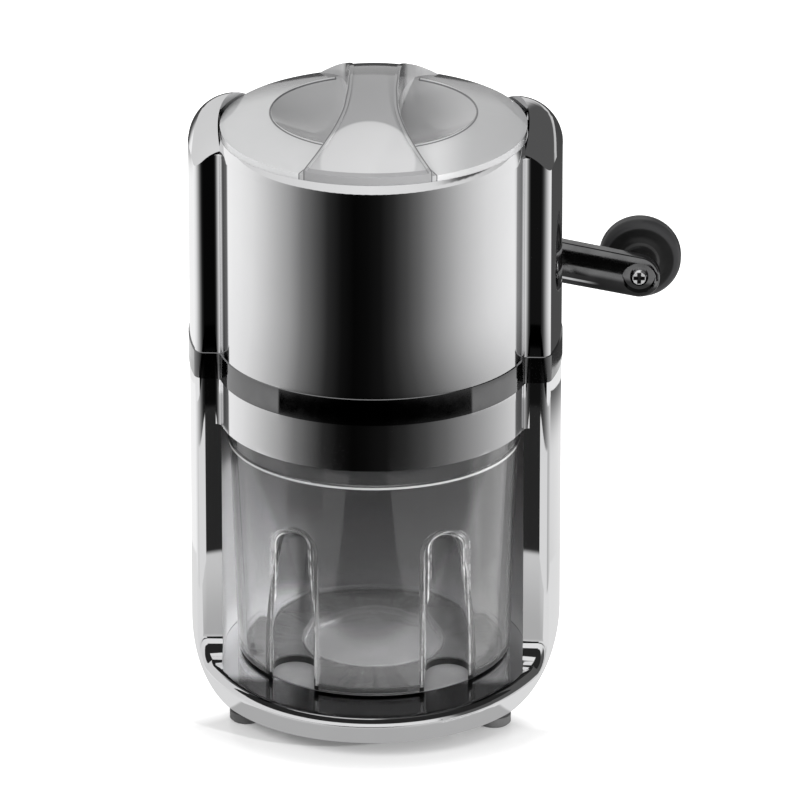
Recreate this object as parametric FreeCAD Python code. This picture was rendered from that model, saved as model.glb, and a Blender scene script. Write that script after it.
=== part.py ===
import FreeCAD, Part
import math
import os

# Hand cranked ice shaver. Millimetres, +Z up, front towards -Y, crank behind the body at +Y.
# Everything is drawn about the hopper's axis and moved once, in save(), so that the middle of
# the bounding box stands at the origin.

os.makedirs("parts", exist_ok=True)
V = FreeCAD.Vector
UP = V(0, 0, 1)
ACROSS = V(1, 0, 0)
BACK = V(0, 1, 0)

# ---- heights of the stack -------------------------------------------------------------------
foot_height = 4.0
cover_thick = 2.2
ring_top = 16.0
bucket_rest_top = 16.3
bucket_top = 112.4
bucket_rim_line = 104.6
lower_ring_bottom = 113.2
band_bottom = 132.1
band_top = 142.6
hopper_shoulder = 223.7
hopper_top = 228.8
hopper_edge_bow = 0.15
shaft_height = 159.0
frame_bottom = foot_height + cover_thick
open_top = 290.0
far = 230.0

# ---- body outline ---------------------------------------------------------------------------
half_width = 72.1
front_reach = 73.4
rear_reach = 74.0
widest_y = 17.0
front_nose_less = 10.1
front_nose = half_width - front_nose_less
rear_nose_more = 9.9
rear_nose = half_width + rear_nose_more
column_front = 13.4
column_edge_round = 4.0
column_root_round = 2.6
step_round = 9.0
low_corner = 20.0
shoulder_round = 18.0
crown_y = 16.0
crown_top = 236.8
crown_front_radius = 45.0
crest_radius = 30.0
rear_top = 226.0
rear_radius = 81.0
body_wall = 3.0
band_proud = 0.4

# ---- hopper and bay -------------------------------------------------------------------------
hopper_radius = 60.0
hopper_lip_radius = 59.0
hopper_bore = 58.0
ear_inner_radius = 59.6
bay_radius = 58.4
bay_lip = 56.6
bay_lip_thick = 1.6

# ---- clearances -----------------------------------------------------------------------------
seat_gap = 0.05
running_gap = 0.05
loose_gap = 0.4
screw_gap = 0.2
square_gap = 0.08
end_gap = 0.5

# ---- bucket ---------------------------------------------------------------------------------
bucket_wall = 2.0
bucket_foot_radius = 53.0
bucket_rim_radius = 56.0
bucket_bead = 0.7
bucket_bead_half = 1.2
bucket_foot_round = 3.2
bucket_floor = 2.2
flute_x = 29.5
flute_radius = 8.3
flute_top = 75.0
flute_deep_top = 50.0
flute_deep_bottom = 28.0
punt_radius = 28.0
punt_rise = 10.5
gate_mark = 2.2

# ---- lid ------------------------------------------------------------------------------------
lid_wall = 2.0
lid_edge_radius = 58.8
lid_rise = 12.4
lid_peak = hopper_top + lid_rise
lid_dome_radius = 200.0
lid_dome_back = 4.5
lid_skirt_depth = 8.0
recess_radius = 39.5
recess_depth = 13.6
recess_floor = lid_peak - recess_depth
bridge_rise = 9.6
bridge_peak = lid_peak + bridge_rise
bridge_radius = 102.0
grip_bead_wide = 1.7
grip_bead_high = 0.5
# (distance from the middle, half width) along the grip
grip_line = [(0.0, 9.7), (16.0, 9.9), (29.5, 11.6), (45.0, 18.2), (53.6, 24.5), (62.0, 31.5)]

# ---- crusher --------------------------------------------------------------------------------
cage_half_x = 27.0
cage_half_y = 30.0
cage_wall = 2.5
cage_top = 185.0
cage_bottom = 118.0
cage_flange_radius = 52.0
cage_flange_thick = 2.6
web_thick = 4.0
web_opening = 45.0
rotor_radius = 23.5
rotor_count = 5
rotor_pitch = 10.0
blade_thick = 2.0
spacer_radius = 8.0
square_side = 9.0
teeth = 4
# (turn in degrees, distance from the shaft's axis) along one tooth
tooth_line = [(-34, 11.5), (-9, 21.0), (2, rotor_radius), (16, 12.5), (30, 10.5)]
blade_twist = 18
comb_back = 2.0
comb_end_gap = 3.5
comb_low = 11.0
comb_high = 9.0
fin_root_low = 10.0
fin_root_high = 8.0
fin_tip_low = 3.0
fin_tip_high = 4.0
fin_gap = 1.2
throat_corner = 3.0
throat_plate_thick = 2.2
throat_plate_corner = 5.0
liner_top = 220.0
spout_depth = 3.0
liner_throat = cage_top + spout_depth
dish_depth = 18.0
liner_shoulder = liner_throat + dish_depth
liner_wall = 2.0
liner_corner = 1.2

# ---- shaft, bearings and crank --------------------------------------------------------------
journal_front = 4.0
journal_rear = 5.0
rear_pad_y = 75.5
rear_pad_radius = 16.0
rear_cover_thick = 2.2
rear_cover_chamfer = 0.8
arm_front = 80.0
arm_thick = 7.0
arm_reach_x = 101.2
arm_drop = 19.2
arm_half_width = 8.25
arm_taper = 0.6
arm_crown_radius = 36.0
arm_edge_round = 1.2
arm_hub_radius = 12.0
counterbore_radius = 6.2
counterbore_depth = 2.6
counterbore_edge = 0.5
knob_radius = 16.3
knob_length = 25.0
knob_start_gap = 0.5
knob_neck_radius = 6.0
knob_neck_length = 8.0
knob_collar = 0.9
knob_collar_length = 1.6
knob_neck_flare = 4.6
knob_front_round = 3.6
knob_back_round = 4.4
knob_back_bow = 0.3
knob_cap_depth = 2.4
spindle_radius = 4.0
spindle_flange = 5.6
spindle_flange_thick = 1.6

# ---- small parts ----------------------------------------------------------------------------
cover_inset = 6.0
cover_half = 50.8
foot_radius = 6.5
foot_chamfer = 0.9
foot_stem = 2.4
foot_names = ["foot_front_left", "foot_front_right", "foot_rear_left", "foot_rear_right"]
foot_spots = [(-48.0, -37.5), (48.0, -37.5), (-44.0, 50.0), (44.0, 50.0)]
rest_radius = 50.0
rest_depth = 1.2
groove_count = 7
groove_pitch = 8.0
groove_half_length = 18.0
groove_half_width = 1.2
groove_depth = 0.8
base_screw_spots = [(-34.0, -44.0), (34.0, -44.0), (-30.0, 58.0), (30.0, 58.0)]
base_screw_radius = 1.5
base_screw_head = 2.6
base_screw_head_high = 1.4
base_screw_length = 6.5
base_pillar_radius = 4.0
cage_screw_spots = [(34.3, 34.3), (-34.3, 34.3), (-34.3, -34.3), (34.3, -34.3)]
cage_screw_radius = 1.5
cage_screw_head = 3.0
cage_screw_head_high = 1.8
cage_screw_length = 5.5
cover_screw_circle = 12.0
cover_screw_turns = [0.0, 120.0, 240.0]
cover_screw_radius = 1.2
cover_screw_head = 2.2
cover_screw_head_high = 0.8
cover_screw_length = 7.0
cover_screw_sunk = 0.9
knob_screw_radius = 2.0
knob_screw_head = 3.6
knob_screw_head_high = 2.2
knob_screw_length = 16.0
front_bush_radius = 6.5
front_bush_front = 0.6
bush_radius = 8.0
bush_flange = 10.0
bush_flange_thick = 1.6
bush_lip = 1.2
shaft_shoulder_gap = 0.2
retainer_radius = 6.4
retainer_bore = 3.0
retainer_back = -33.9
retainer_thick = 1.6
retainer_slot_half = 1.6
shaft_tip = 4.2
flat_half = 4.0
nut_bore = 4.0
nut_corner = 7.5
nut_thick = 4.6
nut_chamfer = 1.2
stud_length = 5.5

cover_screw_spots = []
for turn in cover_screw_turns:
    x = cover_screw_circle * math.sin(math.radians(turn))
    z = shaft_height + cover_screw_circle * math.cos(math.radians(turn))
    cover_screw_spots.append((x, z))

arm_back = arm_front + arm_thick
knob_x = arm_reach_x
knob_z = shaft_height - arm_drop
knob_start = arm_back + knob_start_gap
knob_end = knob_start + knob_length
spindle_end = knob_end - knob_cap_depth - end_gap - loose_gap
cage_back_face = cage_half_y + cage_wall
cage_floor = band_bottom + web_thick
cage_floor_top = cage_floor + cage_flange_thick
bush_seat = hopper_bore + loose_gap + bush_flange_thick
rear_cover_back = rear_pad_y + rear_cover_thick
cover_screw_seat = rear_cover_back - cover_screw_sunk
knob_screw_seat = arm_front + counterbore_depth

# ---- the one move that stands the middle of the bounding box at the origin -------------------
box_left = -(half_width + band_proud)
box_right = knob_x + knob_radius
box_front = -front_reach
box_back = knob_end
to_origin = V(-(box_left + box_right) / 2, -(box_front + box_back) / 2, 0)


def save(name, shape):
    shape = shape.copy()
    shape.translate(to_origin)
    shape.exportStep("parts/" + name + ".step")


def box(x0, x1, y0, y1, z0, z1):
    return Part.makeBox(x1 - x0, y1 - y0, z1 - z0, V(x0, y0, z0))


def post(radius, z0, z1, x=0.0, y=0.0):
    return Part.makeCylinder(radius, z1 - z0, V(x, y, z0), UP)


def rod(radius, y0, y1, x=0.0, z=shaft_height):
    return Part.makeCylinder(radius, y1 - y0, V(x, y0, z), BACK)


def arc_edge(a, b, c):
    return Part.Arc(a, b, c).toShape()


def line_edge(a, b):
    return Part.makeLine(a, b)


def turned(points, about_y=None):
    """A ring or disc from (radius, height) points, about Z, or along Y through (x, z).

    A point marked "arc" is the middle of a round stretch between its neighbours.
    """
    if about_y is None:
        loop = [V(point[0], 0, point[1]) for point in points + points[:1]]
    else:
        loop = [V(about_y[0] + point[0], point[1], about_y[1]) for point in points + points[:1]]
    edges = []
    for i, point in enumerate(points):
        if point[-1] == "arc":
            edges.append(arc_edge(loop[i - 1], loop[i], loop[i + 1]))
        elif points[(i + 1) % len(points)][-1] != "arc":
            edges.append(line_edge(loop[i], loop[i + 1]))
    face = Part.Face(Part.Wire(edges))
    if about_y is None:
        return face.revolve(V(0, 0, 0), UP, 360)
    return face.revolve(V(about_y[0], 0, about_y[1]), BACK, 360)


def above(z):
    return box(-far, far, -far, far, z, z + far)


def between(shape, z0, z1):
    return shape.common(box(-far, far, -far, far, z0, z1))


# ---------------------------------------------------------------------------------------------
# Body envelope: plan outline of two three-arc ovals, front view with round lower corners and
# shoulders, and a crown that comes from turning that front view about axes across the body.
# ---------------------------------------------------------------------------------------------
def end_arcs(reach, nose, inset, z):
    """Three tangent arcs from +X round the end at Y = widest_y + reach to -X."""
    way = math.copysign(1, reach)
    a = half_width
    b = abs(reach)
    side = (a * a + b * b - 2 * b * nose) / (2 * (a - nose))
    side_x = a - side
    nose_y = widest_y + way * (b - nose)
    # the arcs meet on the line through both centres
    run = V(0 - side_x, nose_y - widest_y, 0)
    if side < nose:
        run = run * -1
    run.normalize()
    meet = V(side_x, widest_y, z) + run * (side - inset)
    half = V(1, 0, 0) + run
    half.normalize()
    middle = V(side_x, widest_y, z) + half * (side - inset)
    start = V(a - inset, widest_y, z)
    tip = V(0, nose_y + way * (nose - inset), z)
    mirror_meet = V(-meet.x, meet.y, z)
    mirror_middle = V(-middle.x, middle.y, z)
    mirror_start = V(-start.x, start.y, z)
    return [
        arc_edge(start, middle, meet),
        arc_edge(meet, tip, mirror_meet),
        arc_edge(mirror_meet, mirror_middle, mirror_start),
    ]


def plan_prism(inset, z0, z1):
    edges = end_arcs(rear_reach - widest_y, rear_nose, inset, z0)
    edges = edges + end_arcs(-front_reach - widest_y, front_nose, inset, z0)
    wire = Part.Wire(Part.__sortEdges__(edges))
    return Part.Face(wire).extrude(V(0, 0, z1 - z0))


def front_view(inset, low, high, y):
    """Half height front view up to a flat top at high, with round lower corners."""
    w = half_width - inset
    r = low_corner - inset
    c = low_corner + low
    s = r * math.sqrt(0.5)
    cx = half_width - low_corner
    bottom = low + inset
    edges = [
        line_edge(V(-cx, y, bottom), V(cx, y, bottom)),
        arc_edge(V(cx, y, bottom), V(cx + s, y, c - s), V(w, y, c)),
        line_edge(V(w, y, c), V(w, y, high)),
        line_edge(V(w, y, high), V(-w, y, high)),
        line_edge(V(-w, y, high), V(-w, y, c)),
        arc_edge(V(-w, y, c), V(-cx - s, y, c - s), V(-cx, y, bottom)),
    ]
    return Part.Face(Part.Wire(edges))


def shoulder_view(inset, low, top, y):
    """Front view from low up to a crown at top, with both shoulders rounded."""
    w = half_width - inset
    r = shoulder_round - inset
    cx = half_width - shoulder_round
    cz = top - shoulder_round
    s = r * math.sqrt(0.5)
    high = cz + r
    edges = [
        line_edge(V(-w, y, low), V(w, y, low)),
        line_edge(V(w, y, low), V(w, y, cz)),
        arc_edge(V(w, y, cz), V(cx + s, y, cz + s), V(cx, y, high)),
        line_edge(V(cx, y, high), V(-cx, y, high)),
        arc_edge(V(-cx, y, high), V(-cx - s, y, cz + s), V(-w, y, cz)),
        line_edge(V(-w, y, cz), V(-w, y, low)),
    ]
    return Part.Face(Part.Wire(edges))


def crown(inset, top, radius, towards_back):
    """The shoulder view turned a quarter turn about an axis across the body."""
    centre = top - radius
    view = shoulder_view(inset, centre, top, crown_y)
    angle = -90 if towards_back else 90
    return view.revolve(V(0, crown_y, centre), ACROSS, angle)


def step_cutter(inset):
    """Clears the space in front of the columns and above the base ring."""
    y = -column_front + inset
    z = ring_top - inset
    r = step_round
    s = r * (1 - math.sqrt(0.5))
    edges = [
        line_edge(V(-far, -far, z), V(-far, y - r, z)),
        arc_edge(V(-far, y - r, z), V(-far, y - s, z + s), V(-far, y, z + r)),
        line_edge(V(-far, y, z + r), V(-far, y, open_top)),
        line_edge(V(-far, y, open_top), V(-far, -far, open_top)),
        line_edge(V(-far, -far, open_top), V(-far, -far, z)),
    ]
    return Part.Face(Part.Wire(edges)).extrude(V(2 * far, 0, 0))


def full_form(inset):
    """The body before its columns are stepped back: an oval block under a crown."""
    front_split = crown_top - crown_front_radius
    rear_split = rear_top - rear_radius
    front_low = front_view(inset, frame_bottom, front_split, -far).extrude(V(0, far + crown_y, 0))
    rear_low = front_view(inset, frame_bottom, rear_split, crown_y).extrude(V(0, far, 0))
    pieces = [
        front_low,
        rear_low,
        crown(inset, crown_top, crown_front_radius, False),
        crown(inset, rear_top, rear_radius, True),
        crown(inset, crown_top, crest_radius, True),
    ]
    block = pieces[0].fuse(pieces[1:]).removeSplitter()
    return block.common(plan_prism(inset, 0, open_top))


def envelope(inset):
    return full_form(inset).cut(step_cutter(inset))


def column_edges(shape, face_y=-column_front):
    """Outer edges of both column fronts. The rounding runs on round the base ring's top edge."""
    found = []
    for edge in shape.Edges:
        limits = edge.BoundBox
        flat = limits.YLength < 0.01 and abs(limits.YMin - face_y) < 0.01
        outside = min(abs(limits.XMin), abs(limits.XMax)) > bay_radius + 2
        if flat and outside and limits.ZLength > 5:
            found.append(edge)
    return found


def column_hollow(low, high):
    """Space inside the walls of the body, outside the hopper and the bucket bay."""
    space = between(envelope(body_wall), low, high)
    return space.cut(post(bay_radius + body_wall, low - 1, high + 1))


def root_fillets(radius, low, high, face_y=-column_front):
    """Hollow rounding where a round tube of this radius runs into both column fronts."""
    r = column_root_round
    centre_y = face_y - r
    centre_x = math.sqrt((radius + r) ** 2 - centre_y ** 2)
    fillets = []
    for side in (-1, 1):
        centre = V(side * centre_x, centre_y, low)
        on_face = V(side * centre_x, face_y, low)
        on_tube = centre * (radius / (radius + r))
        on_tube.z = low
        middle = (on_face + on_tube) * 0.5 - centre
        middle.normalize()
        inside = V(side * (radius - 2), face_y + 2, low)
        edges = [
            arc_edge(on_face, centre + middle * r, on_tube),
            line_edge(on_tube, inside),
            line_edge(inside, on_face),
        ]
        fillets.append(Part.Face(Part.Wire(edges)).extrude(V(0, 0, high - low)))
    return fillets


body = envelope(0)
body = body.makeFillet(column_edge_round, column_edges(body))


# ---------------------------------------------------------------------------------------------
# Upper housing: hopper tube with a rolled top edge, columns that rise into two crests, and the
# boss that holds the rear bush.
# ---------------------------------------------------------------------------------------------
def upper_housing():
    shell = between(body, band_top, open_top)
    roots = root_fillets(hopper_radius, band_top, hopper_shoulder)
    shell = shell.fuse([root.common(full_form(0)) for root in roots])
    shell = shell.cut(post(ear_inner_radius, hopper_shoulder, open_top))
    edge_middle = (hopper_radius + hopper_lip_radius) / 2 + hopper_edge_bow
    tube = turned([
        (hopper_bore, band_top),
        (hopper_radius, band_top),
        (hopper_radius, hopper_shoulder),
        (edge_middle, (hopper_shoulder + hopper_top) / 2, "arc"),
        (hopper_lip_radius, hopper_top),
        (hopper_bore, hopper_top),
    ])
    hollow = between(envelope(body_wall), band_top - 1, open_top)
    hollow = hollow.cut(post(hopper_radius, 0, open_top))
    shell = shell.cut(hollow)
    shell = shell.cut(post(hopper_bore, 0, open_top))
    shell = shell.fuse(tube)
    boss = rod(rear_pad_radius, (hopper_bore + hopper_radius) / 2, rear_pad_y)
    shell = shell.fuse(boss.common(above(band_top)))
    shell = shell.cut(rod(bush_radius + seat_gap, 0, far))
    shell = shell.cut(rod(bush_flange + loose_gap, 0, bush_seat))
    for x, z in cover_screw_spots:
        pilot_front = cover_screw_seat - cover_screw_length - end_gap
        shell = shell.cut(rod(cover_screw_radius + seat_gap, pilot_front, far, x, z))
    return shell.removeSplitter()


def mid_band():
    ring = between(envelope(-band_proud), band_bottom, band_top)
    face_y = -column_front - band_proud
    ring = ring.makeFillet(column_edge_round + band_proud, column_edges(ring, face_y))
    ring = ring.fuse(post(hopper_radius + band_proud, band_bottom, band_top))
    ring = ring.fuse(root_fillets(hopper_radius + band_proud, band_bottom, band_top, face_y))
    ring = ring.cut(column_hollow(band_bottom - 1, band_top + 1))
    ring = ring.cut(post(hopper_bore, cage_floor, band_top + 1))
    ring = ring.cut(post(web_opening, band_bottom - 1, band_top + 1))
    for x, y in cage_screw_spots:
        low = band_bottom - 1
        ring = ring.cut(post(cage_screw_radius + seat_gap, low, band_top, x, y))
    ring = ring.cut(rod(rear_pad_radius, 0, far))
    return ring.removeSplitter()


def lower_frame():
    shell = between(body, frame_bottom, band_bottom)
    shell = shell.fuse(post(hopper_radius, lower_ring_bottom, band_bottom))
    shell = shell.fuse(root_fillets(hopper_radius, lower_ring_bottom, band_bottom))
    bay = post(bay_radius, ring_top, lower_ring_bottom)
    bay = bay.fuse(box(-bay_radius, bay_radius, -far, 0, ring_top, lower_ring_bottom))
    shell = shell.cut(bay)
    lip_top = lower_ring_bottom + bay_lip_thick
    shell = shell.cut(post(bay_lip, lower_ring_bottom - 1, lip_top))
    shell = shell.cut(post(hopper_bore, lip_top, band_bottom + 1))
    hollow = column_hollow(ring_top + body_wall, band_bottom + 1)
    step_back = box(-far, far, -far, -column_front + body_wall, 0, lower_ring_bottom)
    shell = shell.cut(hollow.cut(step_back))
    base = between(envelope(body_wall), 0, ring_top - body_wall)
    base = base.fuse(plan_prism(cover_inset, 0, frame_bottom + 0.1).common(cover_limits()))
    shell = shell.cut(base)
    shell = shell.cut(post(rest_radius + loose_gap, ring_top - rest_depth, ring_top + 1))
    for x, y in base_screw_spots:
        pillar = post(base_pillar_radius, frame_bottom, ring_top - body_wall / 2, x, y)
        pilot = post(base_screw_radius + seat_gap, 0, ring_top - body_wall - end_gap, x, y)
        shell = shell.fuse(pillar).cut(pilot)
    return shell.removeSplitter()


def cover_limits():
    flat = half_width - low_corner
    return box(-flat + 1, flat - 1, -far, far, 0, ring_top)


def bottom_cover():
    plate = plan_prism(cover_inset + loose_gap, foot_height, frame_bottom)
    plate = plate.common(box(-cover_half, cover_half, -far, far, 0, ring_top))
    for x, y in base_screw_spots:
        plate = plate.cut(post(base_screw_radius + screw_gap, 0, ring_top, x, y))
    for x, y in foot_spots:
        plate = plate.cut(post(foot_stem + seat_gap, 0, ring_top, x, y))
    for i in range(groove_count):
        y = (i - (groove_count - 1) / 2) * groove_pitch
        low = y - groove_half_width
        high = y + groove_half_width
        end = groove_half_length
        plate = plate.cut(box(-end, end, low, high, 0, foot_height + groove_depth))
    return plate


def foot(x, y):
    shape = turned([
        (0, 0),
        (foot_radius - foot_chamfer, 0),
        (foot_radius, foot_chamfer),
        (foot_radius, foot_height),
        (foot_stem, foot_height),
        (foot_stem, frame_bottom),
        (0, frame_bottom),
    ])
    shape.translate(V(x, y, 0))
    return shape


def cross_slot(size, depth):
    """Cross recess cutter, centred on Z, reaching down from Z 0."""
    half = size * 0.22
    arm = box(-size, size, -half, half, -depth, 1)
    return arm.fuse(box(-half, half, -size, size, -depth, 1))


def screw(head, head_high, shank, length):
    """Pan head screw with its head's seat at Z 0 and its head above."""
    solid = turned([
        (0, -length),
        (shank, -length),
        (shank, 0),
        (head, 0),
        (head, head_high * 0.45),
        (head * 0.72, head_high),
        (0, head_high),
    ])
    slot = cross_slot(head * 0.55, head_high * 0.62)
    slot.translate(V(0, 0, head_high))
    return solid.cut(slot)


def turned_to(shape, axis, angle, x, y, z):
    shape = shape.copy()
    shape.rotate(V(0, 0, 0), axis, angle)
    shape.translate(V(x, y, z))
    return shape


def screws(sample, axis, angle, spots):
    return Part.makeCompound([turned_to(sample, axis, angle, *spot) for spot in spots])


# ---------------------------------------------------------------------------------------------
# Hopper liner and crusher cage
# ---------------------------------------------------------------------------------------------
def round_rectangle(hx, hy, corner, z):
    """Eight edged wire, the same count whether it is nearly a circle or nearly a rectangle."""
    s = corner * (1 - math.sqrt(0.5))
    c = corner
    edges = []
    corners = [(hx, hy, 1, 1), (-hx, hy, -1, 1), (-hx, -hy, -1, -1), (hx, -hy, 1, -1)]
    points = []
    for x, y, sx, sy in corners:
        on_side = V(x, y - sy * c, z)
        middle = V(x - sx * s, y - sy * s, z)
        on_end = V(x - sx * c, y, z)
        if sx * sy > 0:
            points.append((on_side, middle, on_end))
        else:
            points.append((on_end, middle, on_side))
    for i, (a, b, c_) in enumerate(points):
        edges.append(arc_edge(a, b, c_))
        edges.append(line_edge(c_, points[(i + 1) % 4][0]))
    return Part.Wire(edges)


def hopper_liner():
    """Conical dish with an upright rim, whose flat floor opens into a rectangular spout."""
    rim = hopper_bore - loose_gap
    low = liner_throat
    corner = math.hypot(cage_half_x, cage_half_y) + liner_corner
    slope = liner_wall * 0.45
    dish = turned([
        (0, low),
        (corner + liner_wall - slope, low),
        (rim, liner_shoulder - slope),
        (rim, liner_top),
        (rim - liner_wall, liner_top),
        (rim - liner_wall, liner_shoulder),
        (corner, low + liner_wall),
        (0, low + liner_wall),
    ])
    hx = cage_half_x + liner_wall
    hy = cage_half_y + liner_wall
    spout = Part.Face(round_rectangle(hx, hy, throat_corner + liner_wall, cage_top))
    dish = dish.fuse(spout.extrude(V(0, 0, low + liner_wall / 4 - cage_top)))
    throat = Part.Face(round_rectangle(cage_half_x, cage_half_y, throat_corner, cage_top - 1))
    return dish.cut(throat.extrude(V(0, 0, liner_top - cage_top))).removeSplitter()


def crusher_cage():
    hx = cage_half_x + cage_wall
    hy = cage_half_y + cage_wall
    trough = Part.Face(round_rectangle(hx, hy, throat_corner + cage_wall, cage_bottom))
    trough = trough.extrude(V(0, 0, cage_top - cage_bottom))
    trough = trough.fuse(post(cage_flange_radius, cage_floor, cage_floor_top))
    space = Part.Face(round_rectangle(cage_half_x, cage_half_y, throat_corner, cage_bottom - 1))
    trough = trough.cut(space.extrude(V(0, 0, far)))
    trough = trough.cut(rod(front_bush_radius + seat_gap, -far, 0))
    trough = trough.cut(rod(journal_rear + loose_gap + 1, 0, far))
    for x, y in cage_screw_spots:
        trough = trough.cut(post(cage_screw_radius + screw_gap, cage_floor - 1, cage_floor_top + 1, x, y))
    return trough.removeSplitter()


def throat_plate():
    low = lower_ring_bottom + bay_lip_thick
    plate = post(hopper_bore - loose_gap, low, low + throat_plate_thick)
    hx = cage_half_x + cage_wall + loose_gap
    hy = cage_half_y + cage_wall + loose_gap
    hole = Part.Face(round_rectangle(hx, hy, throat_plate_corner, low - 1))
    return plate.cut(hole.extrude(V(0, 0, far)))


# ---------------------------------------------------------------------------------------------
# Crusher: star blades on a square shaft that pass between the fins of a fixed comb
# ---------------------------------------------------------------------------------------------
def star_blade(phase):
    """Flat star about the Y axis with one hooked tooth to each part of a turn."""
    points = []
    for i in range(teeth):
        base = 360 * i / teeth + phase
        for turn, radius in tooth_line:
            a = math.radians(base + turn)
            points.append(V(radius * math.cos(a), 0, radius * math.sin(a)))
    plate = Part.Face(Part.makePolygon(points + points[:1])).extrude(V(0, blade_thick, 0))
    side = square_side / 2 + square_gap
    return plate.cut(box(-side, side, -1, blade_thick + 1, -side, side))


def rotor_blade(index):
    y = (index - (rotor_count - 1) / 2) * rotor_pitch - blade_thick / 2
    plate = star_blade(blade_twist * index)
    plate.translate(V(0, y, shaft_height))
    return plate


def spacer(y0, y1):
    side = square_side / 2 + square_gap
    ring = rod(spacer_radius, y0, y1)
    return ring.cut(box(-side, side, y0 - 1, y1 + 1, shaft_height - side, shaft_height + side))


def rotor_spacers():
    rings = []
    half = (rotor_count - 1) / 2 * rotor_pitch
    for i in range(rotor_count - 1):
        y = -half + i * rotor_pitch
        rings.append(spacer(y + blade_thick / 2, y + rotor_pitch - blade_thick / 2))
    rings.append(spacer(-cage_half_y + end_gap + bush_lip, -half - blade_thick / 2))
    rings.append(spacer(half + blade_thick / 2, cage_half_y - end_gap))
    return Part.makeCompound(rings)


def breaker_comb():
    x = cage_half_x
    end = cage_half_y - comb_end_gap
    comb = box(x - comb_back, x, -end, end, shaft_height - comb_low, shaft_height + comb_high)
    for i in range(rotor_count + 1):
        y = (i - rotor_count / 2) * rotor_pitch
        points = [
            (x - comb_back / 2, shaft_height - fin_root_low),
            (spacer_radius + fin_gap, shaft_height - fin_tip_low),
            (spacer_radius + fin_gap, shaft_height + fin_tip_high),
            (x - comb_back / 2, shaft_height + fin_root_high),
        ]
        corners = [V(px, y - blade_thick / 2, pz) for px, pz in points]
        fin = Part.Face(Part.makePolygon(corners + corners[:1])).extrude(V(0, blade_thick, 0))
        comb = comb.fuse(fin)
    return comb.removeSplitter()


def between_flats(half):
    return box(-far, far, 0, far, shaft_height - half, shaft_height + half)


def drive_shaft():
    """Square through the blades, round in both bushes, two flats in the arm, a stud for the nut."""
    side = square_side / 2
    front = -cage_half_y + bush_lip + shaft_shoulder_gap
    rear = cage_half_y - end_gap
    shaft = box(-side, side, front, rear, shaft_height - side, shaft_height + side)
    shaft = shaft.fuse(rod(journal_front, -cage_back_face - front_bush_front - end_gap, front))
    shaft = shaft.fuse(rod(retainer_bore, retainer_back - shaft_tip, front))
    shaft = shaft.fuse(rod(journal_rear, rear, arm_front))
    shaft = shaft.fuse(rod(journal_rear, arm_front, arm_back).common(between_flats(flat_half)))
    shaft = shaft.fuse(rod(nut_bore - seat_gap, arm_back - 1, arm_back + stud_length))
    return shaft.removeSplitter()


def front_bush():
    bore = journal_front + running_gap
    front = -cage_back_face - front_bush_front
    return turned([
        (bore, front),
        (front_bush_radius, front),
        (front_bush_radius, -cage_half_y),
        (front_bush_radius + 2, -cage_half_y),
        (front_bush_radius + 2, -cage_half_y + bush_lip),
        (bore, -cage_half_y + bush_lip),
    ], (0, shaft_height))


def shaft_retainer():
    """Snap ring on the shaft's front end, open upwards."""
    ring = rod(retainer_radius, retainer_back - retainer_thick, retainer_back)
    ring = ring.cut(rod(retainer_bore + seat_gap, -far, 0))
    return ring.cut(box(-retainer_slot_half, retainer_slot_half, -far, 0, shaft_height, open_top))


def rear_bush():
    bore = journal_rear + running_gap
    front = bush_seat - bush_flange_thick
    return turned([
        (bore, front),
        (bush_flange, front),
        (bush_flange, bush_seat),
        (bush_radius, bush_seat),
        (bush_radius, rear_pad_y),
        (bore, rear_pad_y),
    ], (0, shaft_height))


def rear_cover():
    bore = journal_rear + loose_gap
    edge = rear_pad_radius - loose_gap
    disc = turned([
        (bore, rear_pad_y),
        (edge, rear_pad_y),
        (edge, rear_cover_back - rear_cover_chamfer),
        (edge - rear_cover_chamfer, rear_cover_back),
        (bore, rear_cover_back),
    ], (0, shaft_height))
    for x, z in cover_screw_spots:
        disc = disc.cut(rod(cover_screw_radius + screw_gap, 0, far, x, z))
        disc = disc.cut(rod(cover_screw_head + screw_gap, cover_screw_seat, far, x, z))
    return disc


# ---------------------------------------------------------------------------------------------
# Crank: straight arm with a hub on a shaft with two flats, and a knob that spins on a spindle
# ---------------------------------------------------------------------------------------------
def arm_bar():
    """Tapered bar with round ends and a bowed front, from the shaft to the knob's axis."""
    reach = math.hypot(arm_reach_x, arm_drop)
    r0 = arm_half_width + arm_taper
    r1 = arm_half_width
    side = math.asin((r0 - r1) / reach)
    up0 = V(r0 * math.sin(side), 0, r0 * math.cos(side))
    up1 = V(reach + r1 * math.sin(side), 0, r1 * math.cos(side))
    down0 = V(up0.x, 0, -up0.z)
    down1 = V(up1.x, 0, -up1.z)
    outline = [
        line_edge(up0, up1),
        arc_edge(up1, V(reach + r1, 0, 0), down1),
        line_edge(down1, down0),
        arc_edge(down0, V(-r0, 0, 0), up0),
    ]
    wide = 2 * r0
    dip = arm_crown_radius - math.sqrt(arm_crown_radius ** 2 - wide ** 2)
    section = [
        arc_edge(V(-wide, dip, -wide), V(-wide, 0, 0), V(-wide, dip, wide)),
        line_edge(V(-wide, dip, wide), V(-wide, arm_thick, wide)),
        line_edge(V(-wide, arm_thick, wide), V(-wide, arm_thick, -wide)),
        line_edge(V(-wide, arm_thick, -wide), V(-wide, dip, -wide)),
    ]
    bar = Part.Face(Part.Wire(outline)).extrude(V(0, arm_thick + 1, 0))
    bar.translate(V(0, -1, 0))
    bar = bar.common(Part.Face(Part.Wire(section)).extrude(V(reach + 2 * wide, 0, 0)))
    bar = bar.makeFillet(arm_edge_round, rim_edges(bar))
    bar.rotate(V(0, 0, 0), BACK, math.degrees(math.atan2(arm_drop, arm_reach_x)))
    bar.translate(V(0, arm_front, shaft_height))
    return bar


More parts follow.
